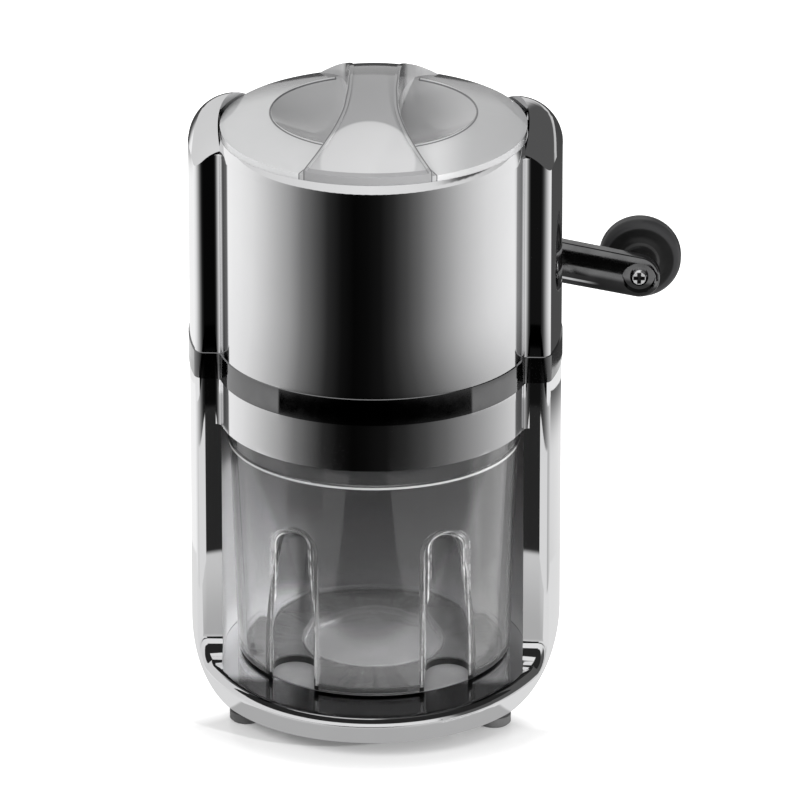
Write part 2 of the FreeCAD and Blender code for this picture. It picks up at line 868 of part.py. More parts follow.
def rim_edges(shape):
    """Edges round the front and the back of a flat piece, not the ones that join them."""
    found = []
    for edge in shape.Edges:
        if edge.BoundBox.YLength < arm_thick / 2:
            found.append(edge)
    return found


def crank_arm():
    hub = rod(arm_hub_radius, arm_front, arm_back)
    hub = hub.makeFillet(arm_edge_round, rim_edges(hub))
    bar = arm_bar().fuse(hub)
    hole = rod(journal_rear + seat_gap, 0, far)
    bar = bar.cut(hole.common(between_flats(flat_half + seat_gap)))
    bar = bar.cut(turned([
        (0, arm_front - 1),
        (counterbore_radius + counterbore_edge + 1, arm_front - 1),
        (counterbore_radius, arm_front + counterbore_edge),
        (counterbore_radius, knob_screw_seat),
        (0, knob_screw_seat),
    ], (knob_x, knob_z)))
    return bar.cut(rod(knob_screw_radius + screw_gap, 0, far, knob_x, knob_z))


def crank_nut():
    points = []
    for i in range(6):
        a = math.radians(60 * i)
        points.append(V(nut_corner * math.cos(a), arm_back, shaft_height + nut_corner * math.sin(a)))
    nut = Part.Face(Part.makePolygon(points + points[:1])).extrude(V(0, nut_thick, 0))
    end = arm_back + nut_thick
    round_off = turned([
        (0, arm_back - 1),
        (nut_corner + 1, arm_back - 1),
        (nut_corner, end - nut_chamfer),
        (nut_corner - nut_chamfer, end),
        (0, end),
    ], (0, shaft_height))
    return nut.common(round_off).cut(rod(nut_bore, 0, far))


def knob_spindle():
    bore = knob_screw_radius + seat_gap
    flange = spindle_end - spindle_flange_thick
    return turned([
        (bore, arm_back),
        (spindle_radius, arm_back),
        (spindle_radius, flange),
        (spindle_flange, flange),
        (spindle_flange, spindle_end),
        (bore, spindle_end),
    ], (knob_x, knob_z))


def knob():
    """Disc with a bowed back on a flared neck, hollow round its spindle."""
    bore = spindle_radius + running_gap
    socket = spindle_flange + loose_gap
    shelf = spindle_end - spindle_flange_thick - loose_gap
    collar = knob_neck_radius + knob_collar
    collar_end = knob_start + knob_collar_length
    neck_end = knob_start + knob_neck_length
    face_y = neck_end + knob_neck_flare
    flare = knob_neck_flare * math.sqrt(0.5)
    face_radius = knob_neck_radius + knob_neck_flare
    front = knob_front_round * (1 - math.sqrt(0.5))
    rim_front = face_y + knob_front_round
    back = knob_back_round * (1 - math.sqrt(0.5))
    shoulder_y = knob_end - 3 * knob_back_bow
    shoulder_radius = knob_radius - knob_back_round
    profile = [
        (bore, knob_start),
        (collar, knob_start),
        (collar, collar_end),
        (knob_neck_radius, collar_end + knob_collar),
        (knob_neck_radius, neck_end),
        (face_radius - flare, neck_end + flare, "arc"),
        (face_radius, face_y),
        (knob_radius - knob_front_round, face_y),
        (knob_radius - front, face_y + front, "arc"),
        (knob_radius, rim_front),
        (knob_radius, shoulder_y - knob_back_round),
        (knob_radius - back, shoulder_y - back, "arc"),
        (shoulder_radius, shoulder_y),
        ((shoulder_radius + socket) / 2, knob_end - knob_back_bow, "arc"),
        (socket, knob_end),
        (socket, shelf),
        (bore, shelf),
    ]
    return turned(profile, (knob_x, knob_z))


def knob_cap():
    edge = spindle_flange + loose_gap
    return turned([
        (0, knob_end - knob_cap_depth),
        (edge, knob_end - knob_cap_depth),
        (edge, knob_end - end_gap),
        (edge - 1, knob_end),
        (0, knob_end),
    ], (knob_x, knob_z))


# ---------------------------------------------------------------------------------------------
# Bucket: tapered tub with a bead, two finger flutes and a raised floor
# ---------------------------------------------------------------------------------------------
def tub(inset, low, high, corner):
    """Solid of revolution, the outside of the tub when inset is 0."""
    slope = (bucket_rim_radius - bucket_foot_radius) / (bucket_rim_line - bucket_rest_top)

    def radius(z):
        z = min(z, bucket_rim_line)
        return bucket_foot_radius + slope * (z - bucket_rest_top) - inset

    s = corner * (1 - math.sqrt(0.5))
    start = radius(low + corner)
    return turned([
        (0, low),
        (start - corner, low),
        (start - s, low + s, "arc"),
        (start, low + corner),
        (radius(bucket_rim_line), bucket_rim_line),
        (radius(high), high),
        (0, high),
    ])


def flute(grow, side):
    """Finger flute: a leaning round backed slot, open to the front, that ends in a round arch."""
    r = flute_radius + grow
    foot_z = bucket_rest_top - 6
    slope = (flute_deep_top - flute_deep_bottom) / (flute_top - bucket_rest_top)
    foot_deep = flute_deep_bottom - slope * (bucket_rest_top - foot_z)
    lean = math.atan(slope)
    length = (flute_top - foot_z) / math.cos(lean)
    back = Part.makeCylinder(r, length, V(0, 0, 0), UP)
    ball = Part.makeSphere(r, V(0, 0, length))
    open_front = box(-r, r, -far, 0, 0, length)
    arch = Part.makeCylinder(r, far, V(0, 0, length), BACK * -1)
    shape = back.fuse([ball, open_front, arch]).removeSplitter()
    shape.rotate(V(0, 0, 0), ACROSS, math.degrees(lean))
    shape.translate(V(side * flute_x, -foot_deep, foot_z))
    return shape


def punt(grow):
    """Raised middle of the floor: a low dome, flat at the gate mark."""
    base = bucket_rest_top + bucket_floor + grow
    wide = punt_radius + grow
    curve = (wide ** 2 + punt_rise ** 2) / (2 * punt_rise)

    def dome_height(radius):
        return base + punt_rise - curve + math.sqrt(curve ** 2 - radius ** 2)

    return turned([
        (0, base - 2 * bucket_floor),
        (wide, base - 2 * bucket_floor),
        (wide, base),
        (wide / 2, dome_height(wide / 2), "arc"),
        (gate_mark, dome_height(gate_mark)),
        (0, dome_height(gate_mark)),
    ])


def bucket():
    floor_top = bucket_rest_top + bucket_floor
    outside = tub(0, bucket_rest_top, bucket_top, bucket_foot_round)
    inside = tub(bucket_wall, floor_top, bucket_top + 1, bucket_foot_round - bucket_wall / 2)
    for side in (-1, 1):
        outside = outside.cut(flute(0, side))
        inside = inside.cut(flute(bucket_wall, side))
    shell = outside.cut(inside.cut(punt(0)))
    shell = shell.cut(punt(-bucket_floor))
    root = bucket_rim_radius - bucket_wall / 2
    bead = turned([
        (root, bucket_rim_line - bucket_bead_half),
        (bucket_rim_radius + bucket_bead, bucket_rim_line, "arc"),
        (root, bucket_rim_line + bucket_bead_half),
    ])
    return shell.fuse(bead).removeSplitter()


# ---------------------------------------------------------------------------------------------
# Lid: shallow dome with a round recess, bridged by a waisted grip that is hollow from below
# ---------------------------------------------------------------------------------------------
def waisted(inset, low, high):
    """Upright block with the grip's plan: two hollow sides, narrowest in the middle."""
    half = [(x - inset, y) for y, x in reversed(grip_line)]
    half = half + [(x - inset, -y) for y, x in grip_line[1:]]
    right = [V(x, y, low) for x, y in half]
    left = [V(-x, y, low) for x, y in reversed(half)]
    side_a = Part.BSplineCurve()
    side_a.interpolate(right)
    side_b = Part.BSplineCurve()
    side_b.interpolate(left)
    edges = [
        side_a.toShape(),
        line_edge(right[-1], left[0]),
        side_b.toShape(),
        line_edge(left[-1], right[0]),
    ]
    return Part.Face(Part.Wire(edges)).extrude(V(0, 0, high - low))


def dome(inset):
    centre = V(0, lid_dome_back, lid_peak - lid_dome_radius)
    ball = Part.makeSphere(lid_dome_radius - inset, centre, ACROSS)
    return ball.common(post(lid_edge_radius - inset, hopper_top, open_top))


def recess(grow):
    """Round dish in the dome, part of a ball."""
    rim = lid_peak - lid_dome_radius + math.sqrt(lid_dome_radius ** 2 - recess_radius ** 2)
    sag = rim - recess_floor
    curve = (recess_radius ** 2 + sag ** 2) / (2 * sag)
    ball = Part.makeSphere(curve + grow, V(0, 0, recess_floor + curve), ACROSS)
    return between(ball, recess_floor - grow - 1, open_top)


def bridge_arc(inset):
    ball = Part.makeSphere(bridge_radius - inset, V(0, 0, bridge_peak - bridge_radius), ACROSS)
    return ball.common(above(hopper_top - 1))


def lid():
    low = hopper_top - lid_skirt_depth
    skirt = hopper_bore - loose_gap
    grip = waisted(0, low - 5, open_top)
    core = waisted(lid_wall, low - 10, open_top)
    edge = post(lid_edge_radius, hopper_top, open_top)
    solid = dome(0).fuse(post(skirt, low, hopper_top))
    solid = solid.cut(recess(0).cut(grip))
    solid = solid.fuse(grip.common(bridge_arc(0)).common(edge))
    beads = grip.cut(waisted(grip_bead_wide, low - 6, open_top + 1))
    solid = solid.fuse(beads.common(bridge_arc(-grip_bead_high)).common(edge))
    inner_edge = post(lid_edge_radius - lid_wall, low, open_top)
    space = dome(lid_wall).fuse(post(skirt - lid_wall, low - 5, hopper_top + 0.5))
    space = space.cut(recess(lid_wall).cut(core))
    space = space.fuse(core.common(bridge_arc(lid_wall)).common(inner_edge))
    return solid.cut(space).removeSplitter()


# ---------------------------------------------------------------------------------------------
# Write every node
# ---------------------------------------------------------------------------------------------
save("upper_housing", upper_housing())
save("mid_band", mid_band())
save("lower_frame", lower_frame())
save("bottom_cover", bottom_cover())
for name, (x, y) in zip(foot_names, foot_spots):
    save(name, foot(x, y))
base_screw = screw(base_screw_head, base_screw_head_high, base_screw_radius, base_screw_length)
save("base_screws", screws(base_screw, ACROSS, 180, [(x, y, foot_height) for x, y in base_screw_spots]))
save("bucket_rest", post(rest_radius, ring_top - rest_depth, bucket_rest_top))
save("hopper_liner", hopper_liner())
save("crusher_cage", crusher_cage())
cage_screw = screw(cage_screw_head, cage_screw_head_high, cage_screw_radius, cage_screw_length)
save("cage_screws", screws(cage_screw, ACROSS, 0, [(x, y, cage_floor_top) for x, y in cage_screw_spots]))
save("throat_plate", throat_plate())
save("breaker_comb", breaker_comb())
save("front_bush", front_bush())
save("rear_bush", rear_bush())
save("rear_cover", rear_cover())
cover_screw = screw(cover_screw_head, cover_screw_head_high, cover_screw_radius, cover_screw_length)
cover_spots = [(x, cover_screw_seat, z) for x, z in cover_screw_spots]
save("rear_cover_screws", screws(cover_screw, ACROSS, -90, cover_spots))
save("drive_shaft", drive_shaft())
save("shaft_retainer", shaft_retainer())
for index in range(rotor_count):
    save("rotor_blade_" + str(index + 1), rotor_blade(index))
save("rotor_spacers", rotor_spacers())
save("crank_arm", crank_arm())
save("crank_nut", crank_nut())
save("knob_spindle", knob_spindle())
knob_screw = screw(knob_screw_head, knob_screw_head_high, knob_screw_radius, knob_screw_length)
save("knob_screw", turned_to(knob_screw, ACROSS, 90, knob_x, knob_screw_seat, knob_z))
save("knob", knob())
save("knob_cap", knob_cap())
save("lid", lid())
save("bucket", bucket())
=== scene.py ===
import bpy
import math
import mathutils
import numpy as np
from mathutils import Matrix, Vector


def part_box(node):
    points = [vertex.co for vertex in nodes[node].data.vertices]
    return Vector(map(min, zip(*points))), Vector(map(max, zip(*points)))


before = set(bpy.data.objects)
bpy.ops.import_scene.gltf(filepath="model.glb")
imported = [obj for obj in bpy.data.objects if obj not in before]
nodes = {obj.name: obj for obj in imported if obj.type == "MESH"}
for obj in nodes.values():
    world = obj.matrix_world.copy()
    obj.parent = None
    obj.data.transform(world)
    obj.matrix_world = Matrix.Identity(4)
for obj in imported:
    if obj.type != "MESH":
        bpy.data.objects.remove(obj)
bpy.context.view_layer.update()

scene = bpy.context.scene
mm = 0.001

lidLow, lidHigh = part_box("lid")
axisX = float(lidLow[0] + lidHigh[0]) / 2     # hopper axis, from the lid's own box
axisY = float(lidLow[1] + lidHigh[1]) / 2
print("frame loaded:", len(nodes), "nodes, hopper axis at", round(axisX, 4), round(axisY, 4))


def gridFaces(rows, cols):
    # quads between neighbouring rows and columns: corner (r, c) is point r * cols + c
    r, c = np.meshgrid(np.arange(rows - 1), np.arange(cols - 1), indexing="ij")
    first = r * cols + c
    return np.stack([first, first + 1, first + cols + 1, first + cols], axis=-1).reshape(-1, 4)


def makeMesh(name, points, quads, material):
    # points (n, 3) in metres and quads (m, 4) as one mesh object at the origin
    mesh = bpy.data.meshes.new(name)
    mesh.vertices.add(len(points))
    mesh.vertices.foreach_set("co", np.asarray(points, dtype=np.float32).ravel())
    mesh.loops.add(quads.size)
    mesh.loops.foreach_set("vertex_index", quads.astype(np.int32).ravel())
    mesh.polygons.add(len(quads))
    mesh.polygons.foreach_set("loop_start", np.arange(0, quads.size, 4, dtype=np.int32))
    mesh.polygons.foreach_set("use_smooth", np.full(len(quads), True))
    mesh.update(calc_edges=True)
    mesh.validate()
    obj = bpy.data.objects.new(name, mesh)
    scene.collection.objects.link(obj)
    mesh.materials.append(material)
    return obj


noiseSpan = (0.3, 0.7)     # the stretch of a noise's values that is spread over a range


def newMaterial(name):
    # a node material with nothing but its Principled shader
    mat = bpy.data.materials.new(name)
    mat.use_nodes = True
    return mat, mat.node_tree, mat.node_tree.nodes["Principled BSDF"]


def noiseOn(tree, scale, detail, rough=0.5, stretch=(1, 1, 1)):
    # object coordinates, stretched, into one noise texture
    coord = tree.nodes.new("ShaderNodeTexCoord")
    place = tree.nodes.new("ShaderNodeMapping")
    place.inputs["Scale"].default_value = stretch
    noise = tree.nodes.new("ShaderNodeTexNoise")
    noise.inputs["Scale"].default_value = scale
    noise.inputs["Detail"].default_value = detail
    noise.inputs["Roughness"].default_value = rough
    tree.links.new(coord.outputs["Object"], place.inputs["Vector"])
    tree.links.new(place.outputs["Vector"], noise.inputs["Vector"])
    return noise


def rangeOf(tree, source, low, high, span=noiseSpan):
    # low + (high - low) * s, with s the source's share of the way across the span, held to 0 and 1
    node = tree.nodes.new("ShaderNodeMapRange")
    node.inputs["From Min"].default_value = span[0]
    node.inputs["From Max"].default_value = span[1]
    node.inputs["To Min"].default_value = low
    node.inputs["To Max"].default_value = high
    tree.links.new(source, node.inputs["Value"])
    return node.outputs["Result"]


def tintOf(tree, source, dark, light, span=noiseSpan):
    # the same between two colours
    ramp = tree.nodes.new("ShaderNodeValToRGB")
    for stop, place, tone in zip(ramp.color_ramp.elements, span, (dark, light)):
        stop.position = place
        stop.color = (*tone, 1)
    tree.links.new(source, ramp.inputs["Fac"])
    return ramp.outputs["Color"]


def bumpOf(tree, source, strength, distance, shader):
    # the source as a height, in metres times the distance, tilts the shader's normal
    bump = tree.nodes.new("ShaderNodeBump")
    bump.inputs["Strength"].default_value = strength
    bump.inputs["Distance"].default_value = distance
    tree.links.new(source, bump.inputs["Height"])
    tree.links.new(bump.outputs["Normal"], shader.inputs["Normal"])


def mathNode(tree, kind, first, second=None):
    # one arithmetic node; each side is a socket or a plain number
    node = tree.nodes.new("ShaderNodeMath")
    node.operation = kind
    for slot, side in zip(node.inputs, (first, second)):
        if side is None:
            continue
        if isinstance(side, (int, float)):
            slot.default_value = side
        else:
            tree.links.new(side, slot)
    return node.outputs[0]


def product(tree, first, *others):
    # first times each of the others
    for other in others:
        first = mathNode(tree, "MULTIPLY", first, other)
    return first


def offBy(tree, source, value):
    # how far the source is from the value, always positive
    return mathNode(tree, "ABSOLUTE", mathNode(tree, "SUBTRACT", source, value))


def smoothOf(tree, source, fromLow, fromHigh, low, high):
    # low + (high - low) * s * s * (3 - 2 s), with s the source's share of the way from fromLow to fromHigh
    node = tree.nodes.new("ShaderNodeMapRange")
    node.interpolation_type = "SMOOTHSTEP"
    for slot, value in (("From Min", fromLow), ("From Max", fromHigh), ("To Min", low), ("To Max", high)):
        if isinstance(value, (int, float)):
            node.inputs[slot].default_value = value
        else:
            tree.links.new(value, node.inputs[slot])
    tree.links.new(source, node.inputs["Value"])
    return node.outputs["Result"]


def mixValue(tree, mask, plain, masked):
    # plain where the mask is 0, masked where it is 1; each a socket or a number
    node = tree.nodes.new("ShaderNodeMix")
    tree.links.new(mask, node.inputs[0])
    for slot, value in ((node.inputs[2], plain), (node.inputs[3], masked)):
        if isinstance(value, (int, float)):
            slot.default_value = value
        else:
            tree.links.new(value, slot)
    return node.outputs[0]


def mixTint(tree, mask, plain, masked):
    # the same for colours
    node = tree.nodes.new("ShaderNodeMix")
    node.data_type = "RGBA"
    tree.links.new(mask, node.inputs[0])
    for slot, value in ((node.inputs[6], plain), (node.inputs[7], masked)):
        if isinstance(value, tuple):
            slot.default_value = (*value, 1)
        else:
            tree.links.new(value, slot)
    return node.outputs[2]


def axisFar(tree, x, y):
    # square root of x x + y y
    return mathNode(tree, "SQRT", mathNode(tree, "ADD", product(tree, x, x), product(tree, y, y)))


def objectPlace(tree):
    # the point's own x, y and z in metres
    coord = tree.nodes.new("ShaderNodeTexCoord")
    split = tree.nodes.new("ShaderNodeSeparateXYZ")
    tree.links.new(coord.outputs["Object"], split.inputs[0])
    return split.outputs["X"], split.outputs["Y"], split.outputs["Z"]


def hopperPlace(tree):
    # x and y less the hopper axis, z as it is
    x, y, z = objectPlace(tree)
    return mathNode(tree, "SUBTRACT", x, axisX), mathNode(tree, "SUBTRACT", y, axisY), z


def hollowMask(tree, radius, low, high, lean=0.0):
    # 1 inside an upright cylinder about the hopper axis, 0 outside it; lean tips its top towards the front
    x, y, z = hopperPlace(tree)
    far = axisFar(tree, x, y)
    leaning = mathNode(tree, "SUBTRACT", z, product(tree, y, lean))
    return product(tree, mathNode(tree, "LESS_THAN", far, radius), mathNode(tree, "GREATER_THAN", z, low),
                   mathNode(tree, "LESS_THAN", leaning, high))


def facingOf(tree):
    # 0 where a surface faces the eye, 1 where it is seen edge on
    weight = tree.nodes.new("ShaderNodeLayerWeight")
    weight.inputs["Blend"].default_value = 0.5
    return weight.outputs["Facing"]


def shadowPass(mat, share):
    # lets that share of lamp light through the clear piece instead of a hard shadow
    tree = mat.node_tree
    path = tree.nodes.new("ShaderNodeLightPath")
    clear = tree.nodes.new("ShaderNodeBsdfTransparent")
    swap = tree.nodes.new("ShaderNodeMixShader")
    tree.links.new(product(tree, path.outputs["Is Shadow Ray"], share), swap.inputs[0])
    tree.links.new(tree.nodes["Principled BSDF"].outputs[0], swap.inputs[1])
    tree.links.new(clear.outputs[0], swap.inputs[2])
    tree.links.new(swap.outputs[0], tree.nodes["Material Output"].inputs["Surface"])


# what a finish has unless its own dictionary says otherwise; detail and roughness of its three noises
plainLook = {"metallic": 0.0, "ior": 1.5, "specular": 0.5, "coat": 0.0, "coatRough": 0.03, "through": 0.0,
             "aniso": 0.0, "stretch": (1, 1, 1), "bumpDepth": 0.0002,
             "toneNoise": (5, 0.6), "roughNoise": (6, 0.65), "bumpNoise": (4, 0.6)}


def surfaceMaterial(look):
    # one dictionary of looks makes one material: tone, roughness and bump each from their own noise
    look = {**plainLook, **look}
    mat, tree, shader = newMaterial(look["name"])
    for socket, key in (("Metallic", "metallic"), ("IOR", "ior"), ("Specular IOR Level", "specular"),
                        ("Coat Weight", "coat"), ("Coat Roughness", "coatRough"),
                        ("Transmission Weight", "through"), ("Anisotropic", "aniso")):
        shader.inputs[socket].default_value = look[key]
    tone = noiseOn(tree, look["toneScale"], *look["toneNoise"], look["stretch"])
    tree.links.new(tintOf(tree, tone.outputs["Fac"], look["dark"], look["light"]), shader.inputs["Base Color"])
    wearAndBreakup = noiseOn(tree, look["roughScale"], *look["roughNoise"], look["stretch"])
    tree.links.new(rangeOf(tree, wearAndBreakup.outputs["Fac"], *look["rough"]), shader.inputs["Roughness"])
    grain = noiseOn(tree, look["bumpScale"], *look["bumpNoise"], look["stretch"])
    bumpOf(tree, grain.outputs["Fac"], look["bump"], look["bumpDepth"], shader)
    return mat


chromeLook = {"name": "chromePlate", "metallic": 1.0, "dark": (0.86, 0.86, 0.87), "light": (0.92, 0.92, 0.925),
              "toneScale": 14, "rough": (0.012, 0.05), "roughScale": 30, "bump": 0.02, "bumpScale": 25,
              "bumpDepth": 0.0001}
bandLook = {"name": "bandGloss", "metallic": 1.0, "dark": (0.17, 0.17, 0.172), "light": (0.20, 0.20, 0.202),
            "toneScale": 60, "rough": (0.03, 0.08), "roughScale": 90, "bump": 0.02, "bumpScale": 60,
            "bumpDepth": 0.0001}
blackGlossLook = {"name": "blackGloss", "dark": (0.006, 0.006, 0.007), "light": (0.014, 0.014, 0.015),
                  "toneScale": 60, "rough": (0.04, 0.12), "roughScale": 90, "coat": 0.6, "coatRough": 0.03,
                  "bump": 0.03, "bumpScale": 120, "bumpDepth": 0.0001}
satinBlackLook = {"name": "satinBlack", "dark": (0.018, 0.018, 0.019), "light": (0.032, 0.032, 0.034),
                  "toneScale": 80, "rough": (0.28, 0.42), "roughScale": 120, "bump": 0.12, "bumpScale": 900,
                  "bumpDepth": 0.0001}
rubberLook = {"name": "footRubber", "dark": (0.10, 0.10, 0.10), "light": (0.16, 0.16, 0.16),
              "toneScale": 90, "rough": (0.55, 0.75), "roughScale": 150, "bump": 0.2, "bumpScale": 700}
padLook = {"name": "padGrey", "dark": (0.22, 0.22, 0.222), "light": (0.27, 0.27, 0.272),
           "toneScale": 60, "rough": (0.5, 0.65), "roughScale": 130, "bump": 0.12, "bumpScale": 600}
linerLook = {"name": "linerGrey", "dark": (0.44, 0.44, 0.45), "light": (0.52, 0.52, 0.53),
             "toneScale": 40, "rough": (0.3, 0.45), "roughScale": 100, "bump": 0.08, "bumpScale": 600}
steelLook = {"name": "bladeSteel", "metallic": 1.0, "dark": (0.52, 0.52, 0.53), "light": (0.66, 0.66, 0.67),
             "toneScale": 60, "rough": (0.2, 0.36), "roughScale": 200, "stretch": (1, 12, 1),
             "bump": 0.08, "bumpScale": 500, "aniso": 0.4}
screwLook = {"name": "screwChrome", "metallic": 1.0, "dark": (0.86, 0.86, 0.87), "light": (0.95, 0.95, 0.95),
             "toneScale": 120, "rough": (0.10, 0.16), "roughScale": 120, "bump": 0.02, "bumpScale": 200,
             "bumpDepth": 0.00005}
bushLook = {"name": "bushNylon", "dark": (0.66, 0.65, 0.62), "light": (0.74, 0.73, 0.70),
            "toneScale": 70, "rough": (0.35, 0.5), "roughScale": 150, "bump": 0.06, "bumpScale": 500}

chromePlate = surfaceMaterial(chromeLook)
bandGloss = surfaceMaterial(bandLook)
blackGloss = surfaceMaterial(blackGlossLook)
satinBlack = surfaceMaterial(satinBlackLook)
footRubber = surfaceMaterial(rubberLook)
padGrey = surfaceMaterial(padLook)
linerGrey = surfaceMaterial(linerLook)
bladeSteel = surfaceMaterial(steelLook)
screwChrome = surfaceMaterial(screwLook)
bushNylon = surfaceMaterial(bushLook)

# the bucket's bay in the lower frame: a cylinder about the hopper axis, painted paler near its floor as painted light
# against the shade there, and the step round it, painted dark in front as a painted reflection
bayLook = {"radius": 0.0597, "low": 0.0163, "high": 0.1205, "rough": 0.38, "tone": (0.42, 0.42, 0.425),
           "lowPaintedTone": (0.62, 0.62, 0.625), "lowEnd": (0.0168, 0.030),
           "stepRadius": 0.0725, "stepLow": 0.0155, "stepFront": (-0.040, -0.030), "stepPaintedReflection": (0.12, 0.12, 0.122)}


def makeFrameChrome():
    # plating that gives way to satin grey inside the bay, painted paler near the bay floor as painted light, with a
    # painted dark reflection on the flat step round it in front
    mat = surfaceMaterial({**chromeLook, "name": "frameChrome"})
    tree = mat.node_tree
    shader = tree.nodes["Principled BSDF"]
    look = bayLook
    y, z = hopperPlace(tree)[1:]
    bay = hollowMask(tree, look["radius"], look["low"], look["high"])
    # painted reflection: the flat step round the bay is painted dark in front, as if the chrome mirrored dark
    # surroundings
    step = product(tree, hollowMask(tree, look["stepRadius"], look["stepLow"], look["low"]),
                   smoothOf(tree, y, *look["stepFront"], 1.0, 0.0))
    for name, value in (("Metallic", 0.0), ("Roughness", look["rough"])):
        slot = shader.inputs[name]
        plain = slot.links[0].from_socket if slot.links else slot.default_value
        tree.links.new(mixValue(tree, bay, plain, value), slot)
    slot = shader.inputs["Base Color"]
    tint = mixTint(tree, step, slot.links[0].from_socket, look["stepPaintedReflection"])
    # painted light: the bay wall is painted paler towards its floor, lifting the shade there
    wall = mixTint(tree, smoothOf(tree, z, *look["lowEnd"], 1.0, 0.0), look["tone"], look["lowPaintedTone"])
    tree.links.new(mixTint(tree, bay, tint, wall), slot)
    return mat


# the grip's line gives its half width at each distance from the middle, both in mm
lidLook = {"name": "lidPlastic", "dark": (0.80, 0.805, 0.81), "light": (0.84, 0.84, 0.845), "through": 0.25,
           "ior": 1.49, "coat": 0.3, "toneScale": 20, "rough": (0.05, 0.12), "roughScale": 60,
           "bump": 0.02, "bumpScale": 40, "bumpDepth": 0.0001, "shadowShare": 0.5,
           "dish": 0.0396, "dishHigh": 0.23705, "dishLean": 0.0228, "dishShadeTone": (0.60, 0.60, 0.605),
           "dishLine": (0.0002, 0.0005), "dishLineFrom": 0.0022,
           "edgeFrom": (0.70, 0.86), "edgeShare": 0.95, "edgeShadeTone": (0.10, 0.10, 0.103),
           "gripTone": (0.40, 0.40, 0.405), "gripLitFront": (0.56, 0.56, 0.565), "gripFrom": (-0.056, -0.034),
           "patchBack": 0.051, "patchEdge": (0.0172, 0.0186), "patchHighlightTone": (0.68, 0.68, 0.685), "rimFrom": 0.0572,
           "topFrom": (0.003, 0.006), "topShadeTone": (0.22, 0.22, 0.223),
           "shadeFrom": (0.022, 0.040), "shadeShare": 0.6, "shadeTone": (0.42, 0.42, 0.425),
           "beadInner": (-0.0009, -0.0005), "beadOuter": (0.0023, 0.0027), "beadMiddle": 0.0009,
           "beadHalf": (0.0009, 0.0012), "beadShadeTone": (0.16, 0.16, 0.165), "beadHighlight": (0.55, 0.55, 0.555),
           "gripLine": ((0, 9.7), (16, 9.9), (29.5, 11.6), (45, 18.2), (53.6, 24.5), (62, 31.5))}


def gripShare(tree, x, y):
    # how far a point lies outside the waisted grip, in metres: |x| less the half width at its |y|
    table = lidLook["gripLine"]
    span = table[-1][0]
    curve = tree.nodes.new("ShaderNodeFloatCurve")
    points = curve.mapping.curves[0].points
    points[0].location = (table[0][0] / span, table[0][1] / span)
    points[1].location = (table[-1][0] / span, table[-1][1] / span)
    for along, half in table[1:-1]:
        points.new(along / span, half / span)
    curve.mapping.update()
    tree.links.new(mathNode(tree, "DIVIDE", mathNode(tree, "ABSOLUTE", y), span * mm), curve.inputs["Value"])
    half = product(tree, curve.outputs["Value"], span * mm)
    return mathNode(tree, "SUBTRACT", mathNode(tree, "ABSOLUTE", x), half)


def gripTint(tree, x, y, far):
    # the grip is darker, with painted light and shade: paler towards its front end, a round painted highlight patch
    # there, painted shade on its front rim and where it turns down behind
    look = lidLook
    # painted light: the grip is paler towards its front end
    grip = mixTint(tree, smoothOf(tree, y, *look["gripFrom"], 1.0, 0.0), look["gripTone"], look["gripLitFront"])
    ahead = mathNode(tree, "ADD", y, look["patchBack"])
    # painted highlight: a round pale patch near the grip's front end
    patch = smoothOf(tree, axisFar(tree, x, ahead), *look["patchEdge"], 1.0, 0.0)
    grip = mixTint(tree, patch, grip, look["patchHighlightTone"])
    # painted shade: the front rim is set back to the grip's darker tone
    rim = product(tree, mathNode(tree, "GREATER_THAN", far, look["rimFrom"]), mathNode(tree, "LESS_THAN", y, 0.0))
    grip = mixTint(tree, rim, grip, look["gripTone"])
    # painted shade: dark where the grip turns down behind
    return mixTint(tree, smoothOf(tree, y, *look["topFrom"], 0.0, 1.0), grip, look["topShadeTone"])


def makeLidPlastic():
    # clear plastic with the dish painted darker as painted shade and outlined in painted shade, its own darker tone
    # on the grip with painted light and shade, beads painted with shade and a highlight, painted shade to the right,
    # and painted shade where it is seen edge on, standing in for its inside seen through
    look = lidLook
    mat = surfaceMaterial(look)
    tree = mat.node_tree
    slot = tree.nodes["Principled BSDF"].inputs["Base Color"]
    x, y = hopperPlace(tree)[:2]
    far = axisFar(tree, x, y)
    dish = hollowMask(tree, look["dish"], 0.0, look["dishHigh"], look["dishLean"])
    outside = gripShare(tree, x, y)
    tint = mixTint(tree, mathNode(tree, "LESS_THAN", outside, 0.0), slot.links[0].from_socket,
                   gripTint(tree, x, y, far))
    tint = mixTint(tree, smoothOf(tree, x, *look["shadeFrom"], 0.0, look["shadeShare"]), tint, look["shadeTone"])
    bead = product(tree, smoothOf(tree, outside, *look["beadInner"], 0.0, 1.0),
                   smoothOf(tree, outside, *look["beadOuter"], 1.0, 0.0), mathNode(tree, "SUBTRACT", 1.0, dish))
    middle = smoothOf(tree, offBy(tree, outside, look["beadMiddle"]), *look["beadHalf"], 1.0, 0.0)
    # painted shade on the beads, with a painted highlight down their middle
    tint = mixTint(tree, bead, tint, look["beadShadeTone"])
    tint = mixTint(tree, product(tree, bead, middle), tint, look["beadHighlight"])
    # painted shade: the lid is painted dark where it is seen edge on, standing in for the dark inside seen through it
    edge = smoothOf(tree, facingOf(tree), *look["edgeFrom"], 0.0, look["edgeShare"])
    tint = mixTint(tree, edge, tint, look["edgeShadeTone"])
    # painted shade: the dish is painted darker than the rest of the lid
    tint = mixTint(tree, dish, tint, look["dishShadeTone"])
    # painted shade: a thin dark line round the dish's edge, outside the grip
    line = product(tree, smoothOf(tree, offBy(tree, far, look["dish"]), *look["dishLine"], 1.0, 0.0),
                   mathNode(tree, "GREATER_THAN", outside, look["dishLineFrom"]))
    tree.links.new(mixTint(tree, line, tint, look["beadShadeTone"]), slot)
    shadowPass(mat, look["shadowShare"])
    return mat
